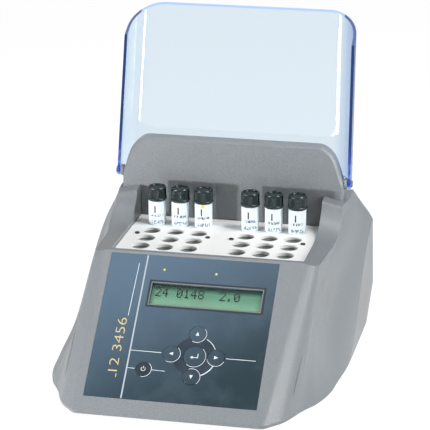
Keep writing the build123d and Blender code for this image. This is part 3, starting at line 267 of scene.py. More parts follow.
def turned(
    profile: Array, steps: int, axis: tuple[float, float], ribs: Array | None = None, count: int = 0, depth: float = 0.0
) -> tuple[Array, list[list[int]]]:
    """Solid of revolution about a vertical axis, with ribs where asked.

    A point is axis + r (cos t, sin t) at height z, with r = profile r minus depth times the rib
    share times (1 - cos(count t)) / 2. The profile starts and ends on the axis, and each of
    those two ends is one point.

    Args:
        profile: Rows of (r, z) from one point on the axis to another.
        steps: Number of steps round.
        axis: Place (x, y) of the axis.
        ribs: Share of the rib depth at each row, 0 to 1.
        count: Number of ribs round.
        depth: Depth of the grooves between the ribs.

    Returns:
        The points and the faces.
    """
    turn = np.linspace(0.0, 2 * np.pi, steps, endpoint=False)
    body = np.asarray(profile, float)[1:-1]
    share = np.zeros(len(body)) if ribs is None else np.asarray(ribs, float)[1:-1]
    groove = depth * share[:, None] * (1 - np.cos(count * turn))[None, :] / 2
    radius = body[:, :1] - groove
    x = axis[0] + radius * np.cos(turn)
    y = axis[1] + radius * np.sin(turn)
    z = np.broadcast_to(body[:, 1:], x.shape)
    rings = np.stack([x, y, z], axis=-1).reshape(-1, 3)
    ends = np.array([[*axis, profile[0][1]], [*axis, profile[-1][1]]])
    points = np.concatenate([rings, ends])
    around = np.arange(steps)
    last = (len(body) - 1) * steps
    first_pole, last_pole = len(rings), len(rings) + 1
    low_fan = np.stack([np.full(steps, first_pole), (around + 1) % steps, around], axis=1)
    high_fan = np.stack([np.full(steps, last_pole), last + around, last + (around + 1) % steps], axis=1)
    faces = grid_faces(len(body), steps, False, True).tolist() + low_fan.tolist() + high_fan.tolist()
    return points, faces


# ------------------------------------------------------------------------------ node trees
class Tree:
    """Writes nodes into a node tree and joins them."""

    def __init__(self, tree: bpy.types.NodeTree) -> None:
        """Starts on an empty tree."""
        self.tree = tree
        tree.nodes.clear()

    def put(self, socket: bpy.types.NodeSocket, value: object) -> None:
        """Joins a socket to another one, or sets its value.

        Args:
            socket: The input socket.
            value: An output socket, a number or a row of numbers.
        """
        if isinstance(value, bpy.types.NodeSocket):
            self.tree.links.new(value, socket)
        elif socket.type == "RGBA" and len(value) == 3:
            socket.default_value = (*value, 1.0)
        else:
            socket.default_value = value

    def add(self, kind: str, inputs: dict[str | int, object] | None = None, **settings: object) -> bpy.types.Node:
        """Adds a node.

        Args:
            kind: The node's type name.
            inputs: Values or sockets for its inputs, by name or number.
            **settings: Properties of the node, such as its operation.

        Returns:
            The node.
        """
        node = self.tree.nodes.new(kind)
        for name, value in settings.items():
            setattr(node, name, value)
        for name, value in (inputs or {}).items():
            self.put(node.inputs[name], value)
        return node

    def math(self, operation: str, a: object, b: object = 0.0, clamp: bool = False) -> bpy.types.NodeSocket:
        """Result of a Math node with two inputs."""
        return self.add("ShaderNodeMath", {0: a, 1: b}, operation=operation, use_clamp=clamp).outputs[0]

    def vector(self, operation: str, a: object, b: object, out: str = "Vector") -> bpy.types.NodeSocket:
        """Result of a Vector Math node with two inputs."""
        return self.add("ShaderNodeVectorMath", {0: a, 1: b}, operation=operation).outputs[out]

    def band(self, value: object, low: float | object, high: float | object) -> bpy.types.NodeSocket:
        """Share from 0 to 1 of the way from low to high, eased at both ends."""
        return self.add(
            "ShaderNodeMapRange", {"Value": value, "From Min": low, "From Max": high},
            interpolation_type="SMOOTHSTEP",
        ).outputs["Result"]

    def blend(self, share: object, a: object, b: object) -> bpy.types.NodeSocket:
        """Colour a where the share is 0 and colour b where it is 1."""
        node = self.add("ShaderNodeMix", data_type="RGBA")
        sockets = {s.identifier: s for s in node.inputs}
        self.put(sockets["Factor_Float"], share)
        self.put(sockets["A_Color"], a)
        self.put(sockets["B_Color"], b)
        return {s.identifier: s for s in node.outputs}["Result_Color"]

    def place(self) -> bpy.types.NodeSocket:
        """The point on the object, in metres."""
        return self.add("ShaderNodeTexCoord").outputs["Object"]

    def noise(self, vector: object, scale: object, detail: float = 3.0, rough: float = 0.5) -> bpy.types.NodeSocket:
        """Value of a noise pattern at a point."""
        return self.add(
            "ShaderNodeTexNoise", {"Vector": vector, "Scale": scale, "Detail": detail, "Roughness": rough},
        ).outputs["Fac"]


class Effect(Enum):
    """Effects that several finishes share, each a shader node group."""

    GRAIN = "moulded_grain"
    SLOPE = "slope_between_points"
    DISC = "disc_on_panel"
    BRUSH = "drawn_lines"
    CLOUD = "soft_clouding"


def new_group(name: str, inputs: dict[str, object], outputs: dict[str, str]) -> tuple[Tree, dict, bpy.types.Node]:
    """Starts a shader node group with named sockets.

    Args:
        name: The group's name.
        inputs: Start value of each input; a row of three numbers makes a vector.
        outputs: Kind of each output, such as NodeSocketFloat.

    Returns:
        The tree writer, the input sockets by name, and the output node.
    """
    group = bpy.data.node_groups.new(name, "ShaderNodeTree")
    for label, start in inputs.items():
        kind = "NodeSocketVector" if isinstance(start, tuple) else "NodeSocketFloat"
        socket = group.interface.new_socket(label, in_out="INPUT", socket_type=kind)
        socket.default_value = start
    for label, kind in outputs.items():
        group.interface.new_socket(label, in_out="OUTPUT", socket_type=kind)
    tree = Tree(group)
    entry = tree.add("NodeGroupInput")
    return tree, {s.name: s for s in entry.outputs}, tree.add("NodeGroupOutput")


def build_grain(effect: Effect) -> None:
    """Fine pits of a textured mould: two sizes of cells and a little noise, as height and speckle."""
    tree, given, out = new_group(
        effect.value, {"Scale": 900.0, "Depth": 1.0}, {"Height": "NodeSocketFloat", "Speckle": "NodeSocketFloat"}
    )
    point = tree.place()
    cells = tree.add(
        "ShaderNodeTexVoronoi", {"Vector": point, "Scale": given["Scale"]}, feature="SMOOTH_F1"
    ).outputs["Distance"]
    fine = tree.noise(point, tree.math("MULTIPLY", given["Scale"], 1.7), 4.0, 0.6)
    both = tree.math("ADD", tree.math("MULTIPLY", cells, 0.6), tree.math("MULTIPLY", fine, 0.7))
    tree.put(out.inputs["Height"], tree.math("MULTIPLY", both, given["Depth"]))
    tree.put(out.inputs["Speckle"], tree.band(fine, 0.38, 0.66))


def build_slope(effect: Effect) -> None:
    """Share of the way from one point to another, for a colour that runs over a surface."""
    tree, given, out = new_group(
        effect.value, {"From": (0.0, 0.0, 0.0), "To": (0.0, 0.0, 1.0)}, {"Share": "NodeSocketFloat"}
    )
    run = tree.vector("SUBTRACT", given["To"], given["From"])
    here = tree.vector("SUBTRACT", tree.place(), given["From"])
    part = tree.math("DIVIDE", tree.vector("DOT_PRODUCT", here, run, "Value"), tree.vector("DOT_PRODUCT", run, run, "Value"))
    tree.put(out.inputs["Share"], tree.math("ADD", part, 0.0, clamp=True))


def build_disc(effect: Effect) -> None:
    """Mask of a ball about a point, which cuts a disc out of a flat surface through that point."""
    tree, given, out = new_group(
        effect.value, {"Centre": (0.0, 0.0, 0.0), "Radius": 0.01, "Soft": 0.0002}, {"Mask": "NodeSocketFloat"}
    )
    apart = tree.vector("DISTANCE", tree.place(), given["Centre"], "Value")
    low = tree.math("SUBTRACT", given["Radius"], given["Soft"])
    high = tree.math("ADD", given["Radius"], given["Soft"])
    tree.put(out.inputs["Mask"], tree.math("SUBTRACT", 1.0, tree.band(apart, low, high)))


def build_brush(effect: Effect) -> None:
    """Fine drawn lines: noise that is stretched along one direction."""
    tree, given, out = new_group(
        effect.value, {"Stretch": (40.0, 1600.0, 1600.0)}, {"Lines": "NodeSocketFloat"}
    )
    stretched = tree.vector("MULTIPLY", tree.place(), given["Stretch"])
    tree.put(out.inputs["Lines"], tree.noise(stretched, 1.0, 3.0, 0.6))


def build_cloud(effect: Effect) -> None:
    """Soft uneven patches, as handling and dust leave them."""
    tree, given, out = new_group(
        effect.value, {"Scale": 14.0, "Amount": 1.0}, {"Mask": "NodeSocketFloat"}
    )
    patches = tree.noise(tree.place(), given["Scale"], 5.0, 0.62)
    tree.put(out.inputs["Mask"], tree.math("MULTIPLY", tree.band(patches, 0.42, 0.7), given["Amount"]))


BUILDERS = {
    Effect.GRAIN: build_grain,
    Effect.SLOPE: build_slope,
    Effect.DISC: build_disc,
    Effect.BRUSH: build_brush,
    Effect.CLOUD: build_cloud,
}


@dataclass(frozen=True)
class Finish:
    """A material with one Principled shader; its subclasses add their own pattern."""

    name: str
    colour: Colour
    rough: float = 0.5
    metal: float = 0.0

    def use(self, tree: Tree, effect: Effect, inputs: dict[str, object]) -> dict[str, bpy.types.NodeSocket]:
        """Places a shared effect in this material.

        Args:
            tree: The material's tree.
            effect: The effect to place.
            inputs: Its values here.

        Returns:
            The effect's outputs by name.
        """
        if effect.value not in bpy.data.node_groups:
            BUILDERS[effect](effect)
        node = tree.add("ShaderNodeGroup", node_tree=bpy.data.node_groups[effect.value])
        for label, value in inputs.items():
            tree.put(node.inputs[label], value)
        return {s.name: s for s in node.outputs}

    def bump(self, tree: Tree, height: object, depth: float, strength: float = 1.0) -> bpy.types.NodeSocket:
        """Normal of a bumped surface, with its depth in metres."""
        return tree.add(
            "ShaderNodeBump", {"Height": height, "Distance": depth, "Strength": strength}
        ).outputs["Normal"]

    def pattern(self, tree: Tree, shader: bpy.types.Node) -> None:
        """Joins this finish's pattern to the shader; a plain finish gets soft clouding.

        Args:
            tree: The material's tree.
            shader: Its Principled shader.
        """
        mask = self.use(tree, Effect.CLOUD, {"Scale": 30.0, "Amount": 0.25})["Mask"]
        dark = tuple(part * 0.8 for part in self.colour)
        tree.put(shader.inputs["Base Color"], tree.blend(mask, self.colour, dark))

    def material(self) -> bpy.types.Material:
        """The Blender material, made once.

        Returns:
            The material of this name.
        """
        known = bpy.data.materials.get(self.name)
        if known is not None:
            return known
        made = bpy.data.materials.new(self.name)
        made.use_nodes = True
        tree = Tree(made.node_tree)
        shader = tree.add(
            "ShaderNodeBsdfPrincipled",
            {"Base Color": self.colour, "Roughness": self.rough, "Metallic": self.metal},
        )
        output = tree.add("ShaderNodeOutputMaterial")
        tree.put(output.inputs["Surface"], shader.outputs["BSDF"])
        self.pattern(tree, shader)
        return made


@dataclass(frozen=True)
class Moulded(Finish):
    """Textured mouldings: a grained plastic with light speckle and soft clouding."""

    scale: float = 900.0
    depth: float = 0.00012
    speckle: float = 0.12

    def pattern(self, tree: Tree, shader: bpy.types.Node) -> None:
        """Grain as bump and speckle over clouding.

        Args:
            tree: The material's tree.
            shader: Its Principled shader.
        """
        grain = self.use(tree, Effect.GRAIN, {"Scale": self.scale, "Depth": 1.0})
        cloud = self.use(tree, Effect.CLOUD, {"Scale": 9.0, "Amount": 0.5})["Mask"]
        light = tuple(min(1.0, part * (1 + self.speckle)) for part in self.colour)
        dark = tuple(part * (1 - self.speckle) for part in self.colour)
        speckled = tree.blend(grain["Speckle"], dark, light)
        tree.put(shader.inputs["Base Color"], tree.blend(cloud, speckled, tuple(p * 0.93 for p in self.colour)))
        rougher = tree.math("ADD", tree.math("MULTIPLY", cloud, 0.12), self.rough)
        tree.put(shader.inputs["Roughness"], rougher)
        tree.put(shader.inputs["Normal"], self.bump(tree, grain["Height"], self.depth))


@dataclass(frozen=True)
class Metal(Finish):
    """Machined or drawn metal with fine lines one way."""

    stretch: tuple[float, float, float] = (60.0, 1400.0, 1400.0)

    def pattern(self, tree: Tree, shader: bpy.types.Node) -> None:
        """Fine lines in colour, roughness and bump.

        Args:
            tree: The material's tree.
            shader: Its Principled shader.
        """
        lines = self.use(tree, Effect.BRUSH, {"Stretch": self.stretch})["Lines"]
        dark = tuple(part * 0.75 for part in self.colour)
        tree.put(shader.inputs["Base Color"], tree.blend(lines, dark, self.colour))
        rough = tree.math("ADD", tree.math("MULTIPLY", lines, 0.2), self.rough - 0.1)
        tree.put(shader.inputs["Roughness"], rough)
        tree.put(shader.inputs["Normal"], self.bump(tree, lines, 0.00003))


@dataclass(frozen=True)
class Foil(Finish):
    """Printed panel foil with a painted sheen: blue grey at the top, deep green blue at the lower right corner."""

    low: Colour = paint(22, 42, 50)
    ring: bool = False
    gloss: float = 0.3

    def pattern(self, tree: Tree, shader: bpy.types.Node) -> None:
        """A slope of colour across the panel, a painted sheen that is lighter at the top left and darker towards the
        lower right, with the dark ring behind the arrow keys.

        Args:
            tree: The material's tree.
            shader: Its Principled shader.
        """
        shader.inputs["Specular IOR Level"].default_value = self.gloss
        # painted sheen: the colour runs from light at the top left to dark at the lower right
        top = PANEL.world([(-60.0, 64.0)])[0] * MM
        foot = PANEL.world([(22.0, -70.0)])[0] * MM
        share = self.use(tree, Effect.SLOPE, {"From": tuple(top), "To": tuple(foot)})["Share"]
        middle = tuple((a + b) / 2 * 1.02 for a, b in zip(self.colour, self.low))
        colour = tree.blend(tree.band(share, 0.0, 0.62), self.colour, middle)
        colour = tree.blend(tree.band(share, 0.4, 1.0), colour, self.low)
        if self.ring:
            centre = PANEL.world([(14.8, -25.1)])[0] * MM
            mask = self.use(tree, Effect.DISC, {"Centre": tuple(centre), "Radius": 18.6 * MM})["Mask"]
            colour = tree.blend(mask, colour, paint(24, 38, 50))
        cloud = self.use(tree, Effect.CLOUD, {"Scale": 26.0, "Amount": 0.14})["Mask"]
        tree.put(shader.inputs["Base Color"], tree.blend(cloud, colour, paint(96, 112, 128)))
        tree.put(shader.inputs["Roughness"], tree.math("ADD", tree.math("MULTIPLY", cloud, 0.5), self.rough))
        grain = self.use(tree, Effect.GRAIN, {"Scale": 1400.0, "Depth": 1.0})["Height"]
        tree.put(shader.inputs["Normal"], self.bump(tree, grain, 0.00003))


@dataclass(frozen=True)
class Clear(Finish):
    """Clear or tinted glass and acrylic, with soft patches of a deeper tint."""

    edge: Colour = paint(190, 205, 205)
    ior: float = 1.49

    def pattern(self, tree: Tree, shader: bpy.types.Node) -> None:
        """Full transmission with faint smears in the gloss.

        Args:
            tree: The material's tree.
            shader: Its Principled shader.
        """
        shader.inputs["Transmission Weight"].default_value = 1.0
        shader.inputs["IOR"].default_value = self.ior
        cloud = self.use(tree, Effect.CLOUD, {"Scale": 20.0, "Amount": 0.06})["Mask"]
        tree.put(shader.inputs["Roughness"], tree.math("ADD", cloud, self.rough))
        tree.put(shader.inputs["Base Color"], tree.blend(tree.math("MULTIPLY", cloud, 3.0), self.colour, self.edge))


@dataclass(frozen=True)
class HoodAcrylic(Finish):
    """Blue tinted acrylic with painted shade: pale over the broad face, bluer on the sides, the right side darker than
    the left, and deep blue rims that glow.
    """

    # left, right, near, rim and end are painted shade: the right side darker than the left, deeper blue near the free
    # edge, and deep blue edges that also glow
    left: Colour = paint(214, 232, 246)
    right: Colour = paint(84, 134, 200)
    near: Colour = paint(112, 162, 228)
    rim: Colour = paint(40, 74, 150)
    end: Colour = paint(118, 148, 216)
    lean: float = 11.0
    edge_place: tuple[float, float, float] = (8.1, 83.27, 149.36)
    half_width: float = 110.6
    taper: float = 0.0195

    def pattern(self, tree: Tree, shader: bpy.types.Node) -> None:
        """Painted shade by place on the hood: distance behind the free edge and nearness to the sides, and a painted
        glow on the rims.

        Args:
            tree: The material's tree.
            shader: Its Principled shader.
        """
        shader.inputs["Transmission Weight"].default_value = 1.0
        shader.inputs["IOR"].default_value = 1.49
        lean = math.radians(self.lean)
        up, back = (0.0, math.sin(lean), math.cos(lean)), (0.0, math.cos(lean), -math.sin(lean))
        here = tree.vector("SUBTRACT", tree.place(), tuple(part * MM for part in self.edge_place))
        behind = tree.vector("DOT_PRODUCT", here, back, "Value")
        above = tree.vector("DOT_PRODUCT", here, up, "Value")
        across = tree.vector("DOT_PRODUCT", here, (1.0, 0.0, 0.0), "Value")
        aside = tree.math("ABSOLUTE", across)
        side = tree.blend(tree.math("GREATER_THAN", across, 0.0), self.left, self.right)
        width = tree.math("SUBTRACT", self.half_width * MM, tree.math("MULTIPLY", above, self.taper))
        inward = tree.math("SUBTRACT", width, aside)
        on_side = tree.math("SUBTRACT", 1.0, tree.band(inward, 1.0 * MM, 24.0 * MM))
        forward = tree.math("SUBTRACT", 1.0, tree.band(behind, 0.0, 34.0 * MM))
        # painted shade: deeper blue towards the sides, strongest near the front
        painted_side_shade = tree.math("MULTIPLY", on_side, tree.math("ADD", 0.55, tree.math("MULTIPLY", forward, 0.45)))
        colour = tree.blend(painted_side_shade, self.colour, side)
        # painted shade: deeper blue just behind the free edge
        painted_front_edge_shade = tree.math("SUBTRACT", 1.0, tree.band(behind, 0.5 * MM, 11.0 * MM))
        colour = tree.blend(tree.math("MULTIPLY", painted_front_edge_shade, 0.6), colour, self.near)
        # painted shade and glow: the front and end faces of the rims are deep blue and give off light
        normal = tree.add("ShaderNodeTexCoord").outputs["Normal"]
        end_face = tree.band(tree.math("ABSOLUTE", tree.vector("DOT_PRODUCT", normal, up, "Value")), 0.5, 0.7)
        front_face = tree.math("SUBTRACT", 1.0, tree.band(behind, 0.15 * MM, 0.6 * MM))
        rim = tree.blend(end_face, self.rim, self.end)
        glow_painted_rims = tree.math("MAXIMUM", end_face, front_face)
        smear = self.use(tree, Effect.CLOUD, {"Scale": 11.0, "Amount": 0.05})["Mask"]
        tree.put(shader.inputs["Base Color"], tree.blend(glow_painted_rims, colour, rim))
        # painted glow: the rims emit their own deep blue light
        tree.put(shader.inputs["Emission Color"], tree.blend(glow_painted_rims, (0.0, 0.0, 0.0), rim))
        shader.inputs["Emission Strength"].default_value = 0.55
        tree.put(shader.inputs["Roughness"], tree.math("ADD", smear, self.rough))


@dataclass(frozen=True)
class DisplayGreen(Finish):
    """Reflective green display with a painted shadow along its upper edge, a faint painted glow and a faint pixel net.
    """

    def pattern(self, tree: Tree, shader: bpy.types.Node) -> None:
        """Painted shadow in dark teal along the top, green below and lighter towards the bottom, and a fine net of
        pixels.

        Args:
            tree: The material's tree.
            shader: Its Principled shader.
        """
        top = PANEL.world([(15.6, 42.9)])[0] * MM
        foot = PANEL.world([(15.6, 21.9)])[0] * MM
        share = self.use(tree, Effect.SLOPE, {"From": tuple(top), "To": tuple(foot)})["Share"]
        # painted shadow: a dark teal band along the top, where the window's edge shades the display
        colour = tree.blend(tree.band(share, 0.1, 0.34), paint(2, 44, 40), self.colour)
        colour = tree.blend(tree.band(share, 0.34, 1.0), colour, paint(118, 160, 134))
        net = tree.add(
            "ShaderNodeTexBrick",
            {"Vector": tree.place(), "Scale": 1000.0, "Mortar Size": 0.08, "Brick Width": 1.0, "Row Height": 0.9,
             "Color1": (1.0, 1.0, 1.0), "Color2": (1.0, 1.0, 1.0), "Mortar": (0.0, 0.0, 0.0)},
            offset=0.0,
        ).outputs["Fac"]
        tree.put(shader.inputs["Base Color"], tree.blend(tree.math("MULTIPLY", net, 0.06), colour, paint(90, 140, 110)))
        # painted glow: the reflective display gives off a little of its own colour
        shader.inputs["Emission Strength"].default_value = 0.06
        tree.put(shader.inputs["Emission Color"], colour)


@dataclass(frozen=True)
class Window(Finish):
    """Thin clear cover that lets most light through."""

    alpha: float = 0.06

    def pattern(self, tree: Tree, shader: bpy.types.Node) -> None:
        """A see-through gloss with faint clouding.

        Args:
            tree: The material's tree.
            shader: Its Principled shader.
        """
        cloud = self.use(tree, Effect.CLOUD, {"Scale": 40.0, "Amount": 0.04})["Mask"]
        tree.put(shader.inputs["Alpha"], tree.math("ADD", cloud, self.alpha))


@dataclass(frozen=True)
class Lamp(Finish):
    """Lit light pipe: a bright middle in a dimmer rim."""

    glow: float = 0.9
    ring: Colour = paint(76, 92, 84)
    places: tuple[tuple[float, float], ...] = ((-25.4, 56.4), (21.4, 55.6))
    lift: float = 0.3

    def pattern(self, tree: Tree, shader: bpy.types.Node) -> None:
        """A bright spot in the middle of each pipe.

        Args:
            tree: The material's tree.
            shader: Its Principled shader.
        """
        middle = 0.0
        for place in self.places:
            spot = {"Centre": tuple(PANEL.world([place], self.lift)[0] * MM), "Radius": 0.65 * MM, "Soft": 0.3 * MM}
            middle = tree.math("ADD", middle, self.use(tree, Effect.DISC, spot)["Mask"])
        tree.put(shader.inputs["Base Color"], tree.blend(middle, self.ring, self.colour))
        tree.put(shader.inputs["Emission Color"], tree.blend(middle, self.ring, self.colour))
        shader.inputs["Emission Strength"].default_value = self.glow


@dataclass(frozen=True)
class Label(Finish):
    """White paper label with one upright bar and rows of small plain marks."""

    def pattern(self, tree: Tree, shader: bpy.types.Node) -> None:
        """Bar and marks by the label's own map: u round the vial, v up it.

        Args:
            tree: The material's tree.
            shader: Its Principled shader.
        """
        uv = tree.add("ShaderNodeSeparateXYZ", {"Vector": tree.add("ShaderNodeTexCoord").outputs["UV"]}).outputs
        off_bar = tree.math("ABSOLUTE", tree.math("SUBTRACT", uv["X"], 0.464))
        off_middle = tree.math("ABSOLUTE", tree.math("SUBTRACT", uv["X"], 0.5))
        bar = tree.math("LESS_THAN", off_bar, 0.0127)
        tall = tree.math("MULTIPLY", tree.math("GREATER_THAN", uv["Y"], 0.69), tree.math("LESS_THAN", uv["Y"], 0.88))
        bar = tree.math("MULTIPLY", bar, tall)
        letters = tree.noise(tree.vector("MULTIPLY", tree.place(), (900.0, 900.0, 420.0)), 1.0, 1.0, 0.5)
        letters = tree.band(letters, 0.44, 0.56)
        # painted shade: a bluish tint over the left half of the label, the side that the light reaches less
        colour = tree.blend(tree.band(uv["X"], 0.5, 0.42), self.colour, paint(214, 226, 236))
        for middle, half, reach, strength in ((0.625, 0.036, 0.12, 0.95), (0.44, 0.05, 0.13, 0.8)):
            off_row = tree.math("ABSOLUTE", tree.math("SUBTRACT", uv["Y"], middle))
            row = tree.math("MULTIPLY", tree.math("LESS_THAN", off_row, half), tree.math("LESS_THAN", off_middle, reach))
            mark = tree.math("MULTIPLY", tree.math("MULTIPLY", row, letters), strength)
            colour = tree.blend(mark, colour, paint(70, 92, 112))
        tree.put(shader.inputs["Base Color"], tree.blend(bar, colour, paint(22, 26, 28)))
        fibre = tree.noise(tree.place(), 900.0, 4.0, 0.6)
        tree.put(shader.inputs["Normal"], self.bump(tree, fibre, 0.00002))


@dataclass(frozen=True)
class Board(Finish):
    """Green circuit board whose raised parts are dark and whose tracks show faintly."""

    base: tuple[float, float, float] = (0.0, 0.0, 14.7)
    normal: tuple[float, float, float] = (0.0, 0.0, 1.0)

    def pattern(self, tree: Tree, shader: bpy.types.Node) -> None:
        """Dark above the board's face, green with lines of tracks on it.

        Args:
            tree: The material's tree.
            shader: Its Principled shader.
        """
        here = tree.vector("SUBTRACT", tree.place(), tuple(part * MM for part in self.base))
        high = tree.math("GREATER_THAN", tree.vector("DOT_PRODUCT", here, self.normal, "Value"), 0.0)
        tracks = tree.add(
            "ShaderNodeTexBrick",
            {"Vector": tree.place(), "Scale": 220.0, "Mortar Size": 0.06, "Color1": (0.0, 0.0, 0.0),
             "Color2": (0.3, 0.3, 0.3), "Mortar": (1.0, 1.0, 1.0)},
        ).outputs["Color"]
        green = tree.blend(tracks, self.colour, paint(70, 140, 80))
        tree.put(shader.inputs["Base Color"], tree.blend(high, green, paint(30, 30, 34)))


@dataclass(frozen=True)
class Striped(Finish):
    """Thin stripes across one direction, as on flat cable or a stack of laminations."""

    across: tuple[float, float, float] = (1.0, 0.0, 0.0)
    pitch: float = 1.27
    second: Colour = paint(90, 90, 96)

    def pattern(self, tree: Tree, shader: bpy.types.Node) -> None:
        """A wave along one direction, in colour and bump.

        Args:
            tree: The material's tree.
            shader: Its Principled shader.
        """
        run = tree.vector("DOT_PRODUCT", tree.place(), self.across, "Value")
        wave = tree.math("SINE", tree.math("MULTIPLY", run, 2 * math.pi / (self.pitch * MM)))
        share = tree.band(wave, -0.6, 0.9)
        tree.put(shader.inputs["Base Color"], tree.blend(share, self.second, self.colour))
        tree.put(shader.inputs["Normal"], self.bump(tree, share, 0.0002))


@dataclass(frozen=True)
class Fibre(Finish):
    """Pressed mineral fibre: tangled soft threads."""

    def pattern(self, tree: Tree, shader: bpy.types.Node) -> None:
        """Stretched noise in two directions, in colour and bump.

        Args:
            tree: The material's tree.
            shader: Its Principled shader.
        """
        one = self.use(tree, Effect.BRUSH, {"Stretch": (120.0, 900.0, 700.0)})["Lines"]
        two = self.use(tree, Effect.BRUSH, {"Stretch": (900.0, 140.0, 800.0)})["Lines"]
        threads = tree.math("MAXIMUM", one, two)
        tree.put(shader.inputs["Base Color"], tree.blend(tree.band(threads, 0.4, 0.7), paint(170, 165, 150), self.colour))
        tree.put(shader.inputs["Normal"], self.bump(tree, threads, 0.0006))


HOUSING = Moulded("housing_grey", paint(118, 123, 127), rough=0.3, depth=0.00018, speckle=0.16)
WALL_GREY = HOUSING
FOIL = Foil("panel_foil", paint(74, 94, 112), rough=0.34, ring=True)
# the key faces carry the foil's painted sheen as well
KEY = Foil("key_face", paint(74, 94, 112), rough=0.3)
POWER_KEY = Foil("power_key_face", paint(30, 44, 54), rough=0.3, low=paint(20, 32, 42))
WINDOW = Window("display_window_clear", paint(30, 38, 36), rough=0.05)
DISPLAY = DisplayGreen("display_green", paint(82, 134, 108), rough=0.5)
LAMP = Lamp("status_lamp", paint(206, 226, 60), rough=0.3)
PLATE = Moulded("plate_white", paint(240, 241, 239), rough=0.42, scale=300.0, depth=0.00002, speckle=0.01)
HOOD = HoodAcrylic("hood_blue_acrylic", paint(224, 237, 246), rough=0.015)
ALUMINIUM = Metal("block_aluminium", paint(196, 204, 202), rough=0.45, metal=0.35, stretch=(900.0, 900.0, 70.0))
STEEL = Metal("zinc_steel", paint(196, 198, 200), rough=0.34, metal=1.0)
# dark screw steel, darker still as painted shade of the recesses the heads sit in
SCREW = Metal("steel_with_painted_recess_shade", paint(96, 94, 92), rough=0.42, metal=1.0)
HEATER = Metal("heater_steel", paint(150, 146, 140), rough=0.5, metal=1.0)
PIN = Clear("hinge_pin_clear", paint(205, 220, 240), rough=0.12, edge=paint(150, 175, 215))
BUSH = Finish("bush_acetal", paint(128, 134, 140), rough=0.42)
INSULATION = Fibre("mineral_fibre", paint(224, 218, 204), rough=0.9)
SHEET = Moulded("powder_coat_grey", paint(142, 145, 148), rough=0.55, scale=1300.0, depth=0.00008, speckle=0.06)
MAIN_BOARD = Board("main_board_green", paint(18, 84, 42), rough=0.4)
PANEL_BOARD = Board(
    "panel_board_green", paint(18, 84, 42), rough=0.4,
    base=tuple(PANEL.world([(0.0, 0.0)], -10.7)[0]), normal=tuple(-PANEL.normal),
)
DARK = Moulded("black_moulding", paint(34, 35, 37), rough=0.42, scale=1500.0, depth=0.00005, speckle=0.1)
CORE = Striped("transformer_core", paint(96, 92, 88), rough=0.5, across=(0.0, 0.0, 1.0), pitch=1.0)
RIBBON = Striped("flat_cable_grey", paint(176, 176, 180), rough=0.5)
RUBBER = Moulded("foot_rubber", paint(36, 36, 36), rough=0.8, scale=1800.0, depth=0.0001, speckle=0.15)
GLASS = Clear("vial_glass_clear", paint(236, 246, 246), rough=0.01, edge=paint(200, 220, 220), ior=1.47)
CAP = Moulded("cap_green_black", paint(20, 36, 38), rough=0.24, scale=1500.0, depth=0.00002, speckle=0.2)
LABEL = Label("vial_label_paper", paint(214, 222, 227), rough=0.6)
WHITE_INK = Finish("ink_white", paint(204, 212, 217), rough=0.5)
SILVER_INK = Finish("ink_silver", paint(160, 168, 176), rough=0.4)
# painted highlight: a light line where the window's bevel catches the light
BEVEL_HIGHLIGHT = Finish("painted_bevel_highlight", paint(104, 114, 118), rough=0.45)
GOLD_INK = Finish("ink_gold", paint(188, 172, 126), rough=0.45)
DARK_INK = Finish("ink_dark", paint(26, 34, 42), rough=0.5)
PIXEL_INK = Finish("display_pixels", paint(4, 22, 20), rough=0.6)
YELLOW_DOT = Finish("dot_yellow", paint(208, 206, 56), rough=0.5)


def dress(finish: Finish, *nodes: str) -> list[bpy.types.Object]:
    """Gives CAD nodes a finish.

    Args:
        finish: The finish.
        *nodes: Names of the nodes.

    Returns:
        The dressed objects.
    """
    found = [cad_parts[name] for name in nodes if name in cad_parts]
    for node in found:
        node.data.materials.clear()
        node.data.materials.append(finish.material())
    return found


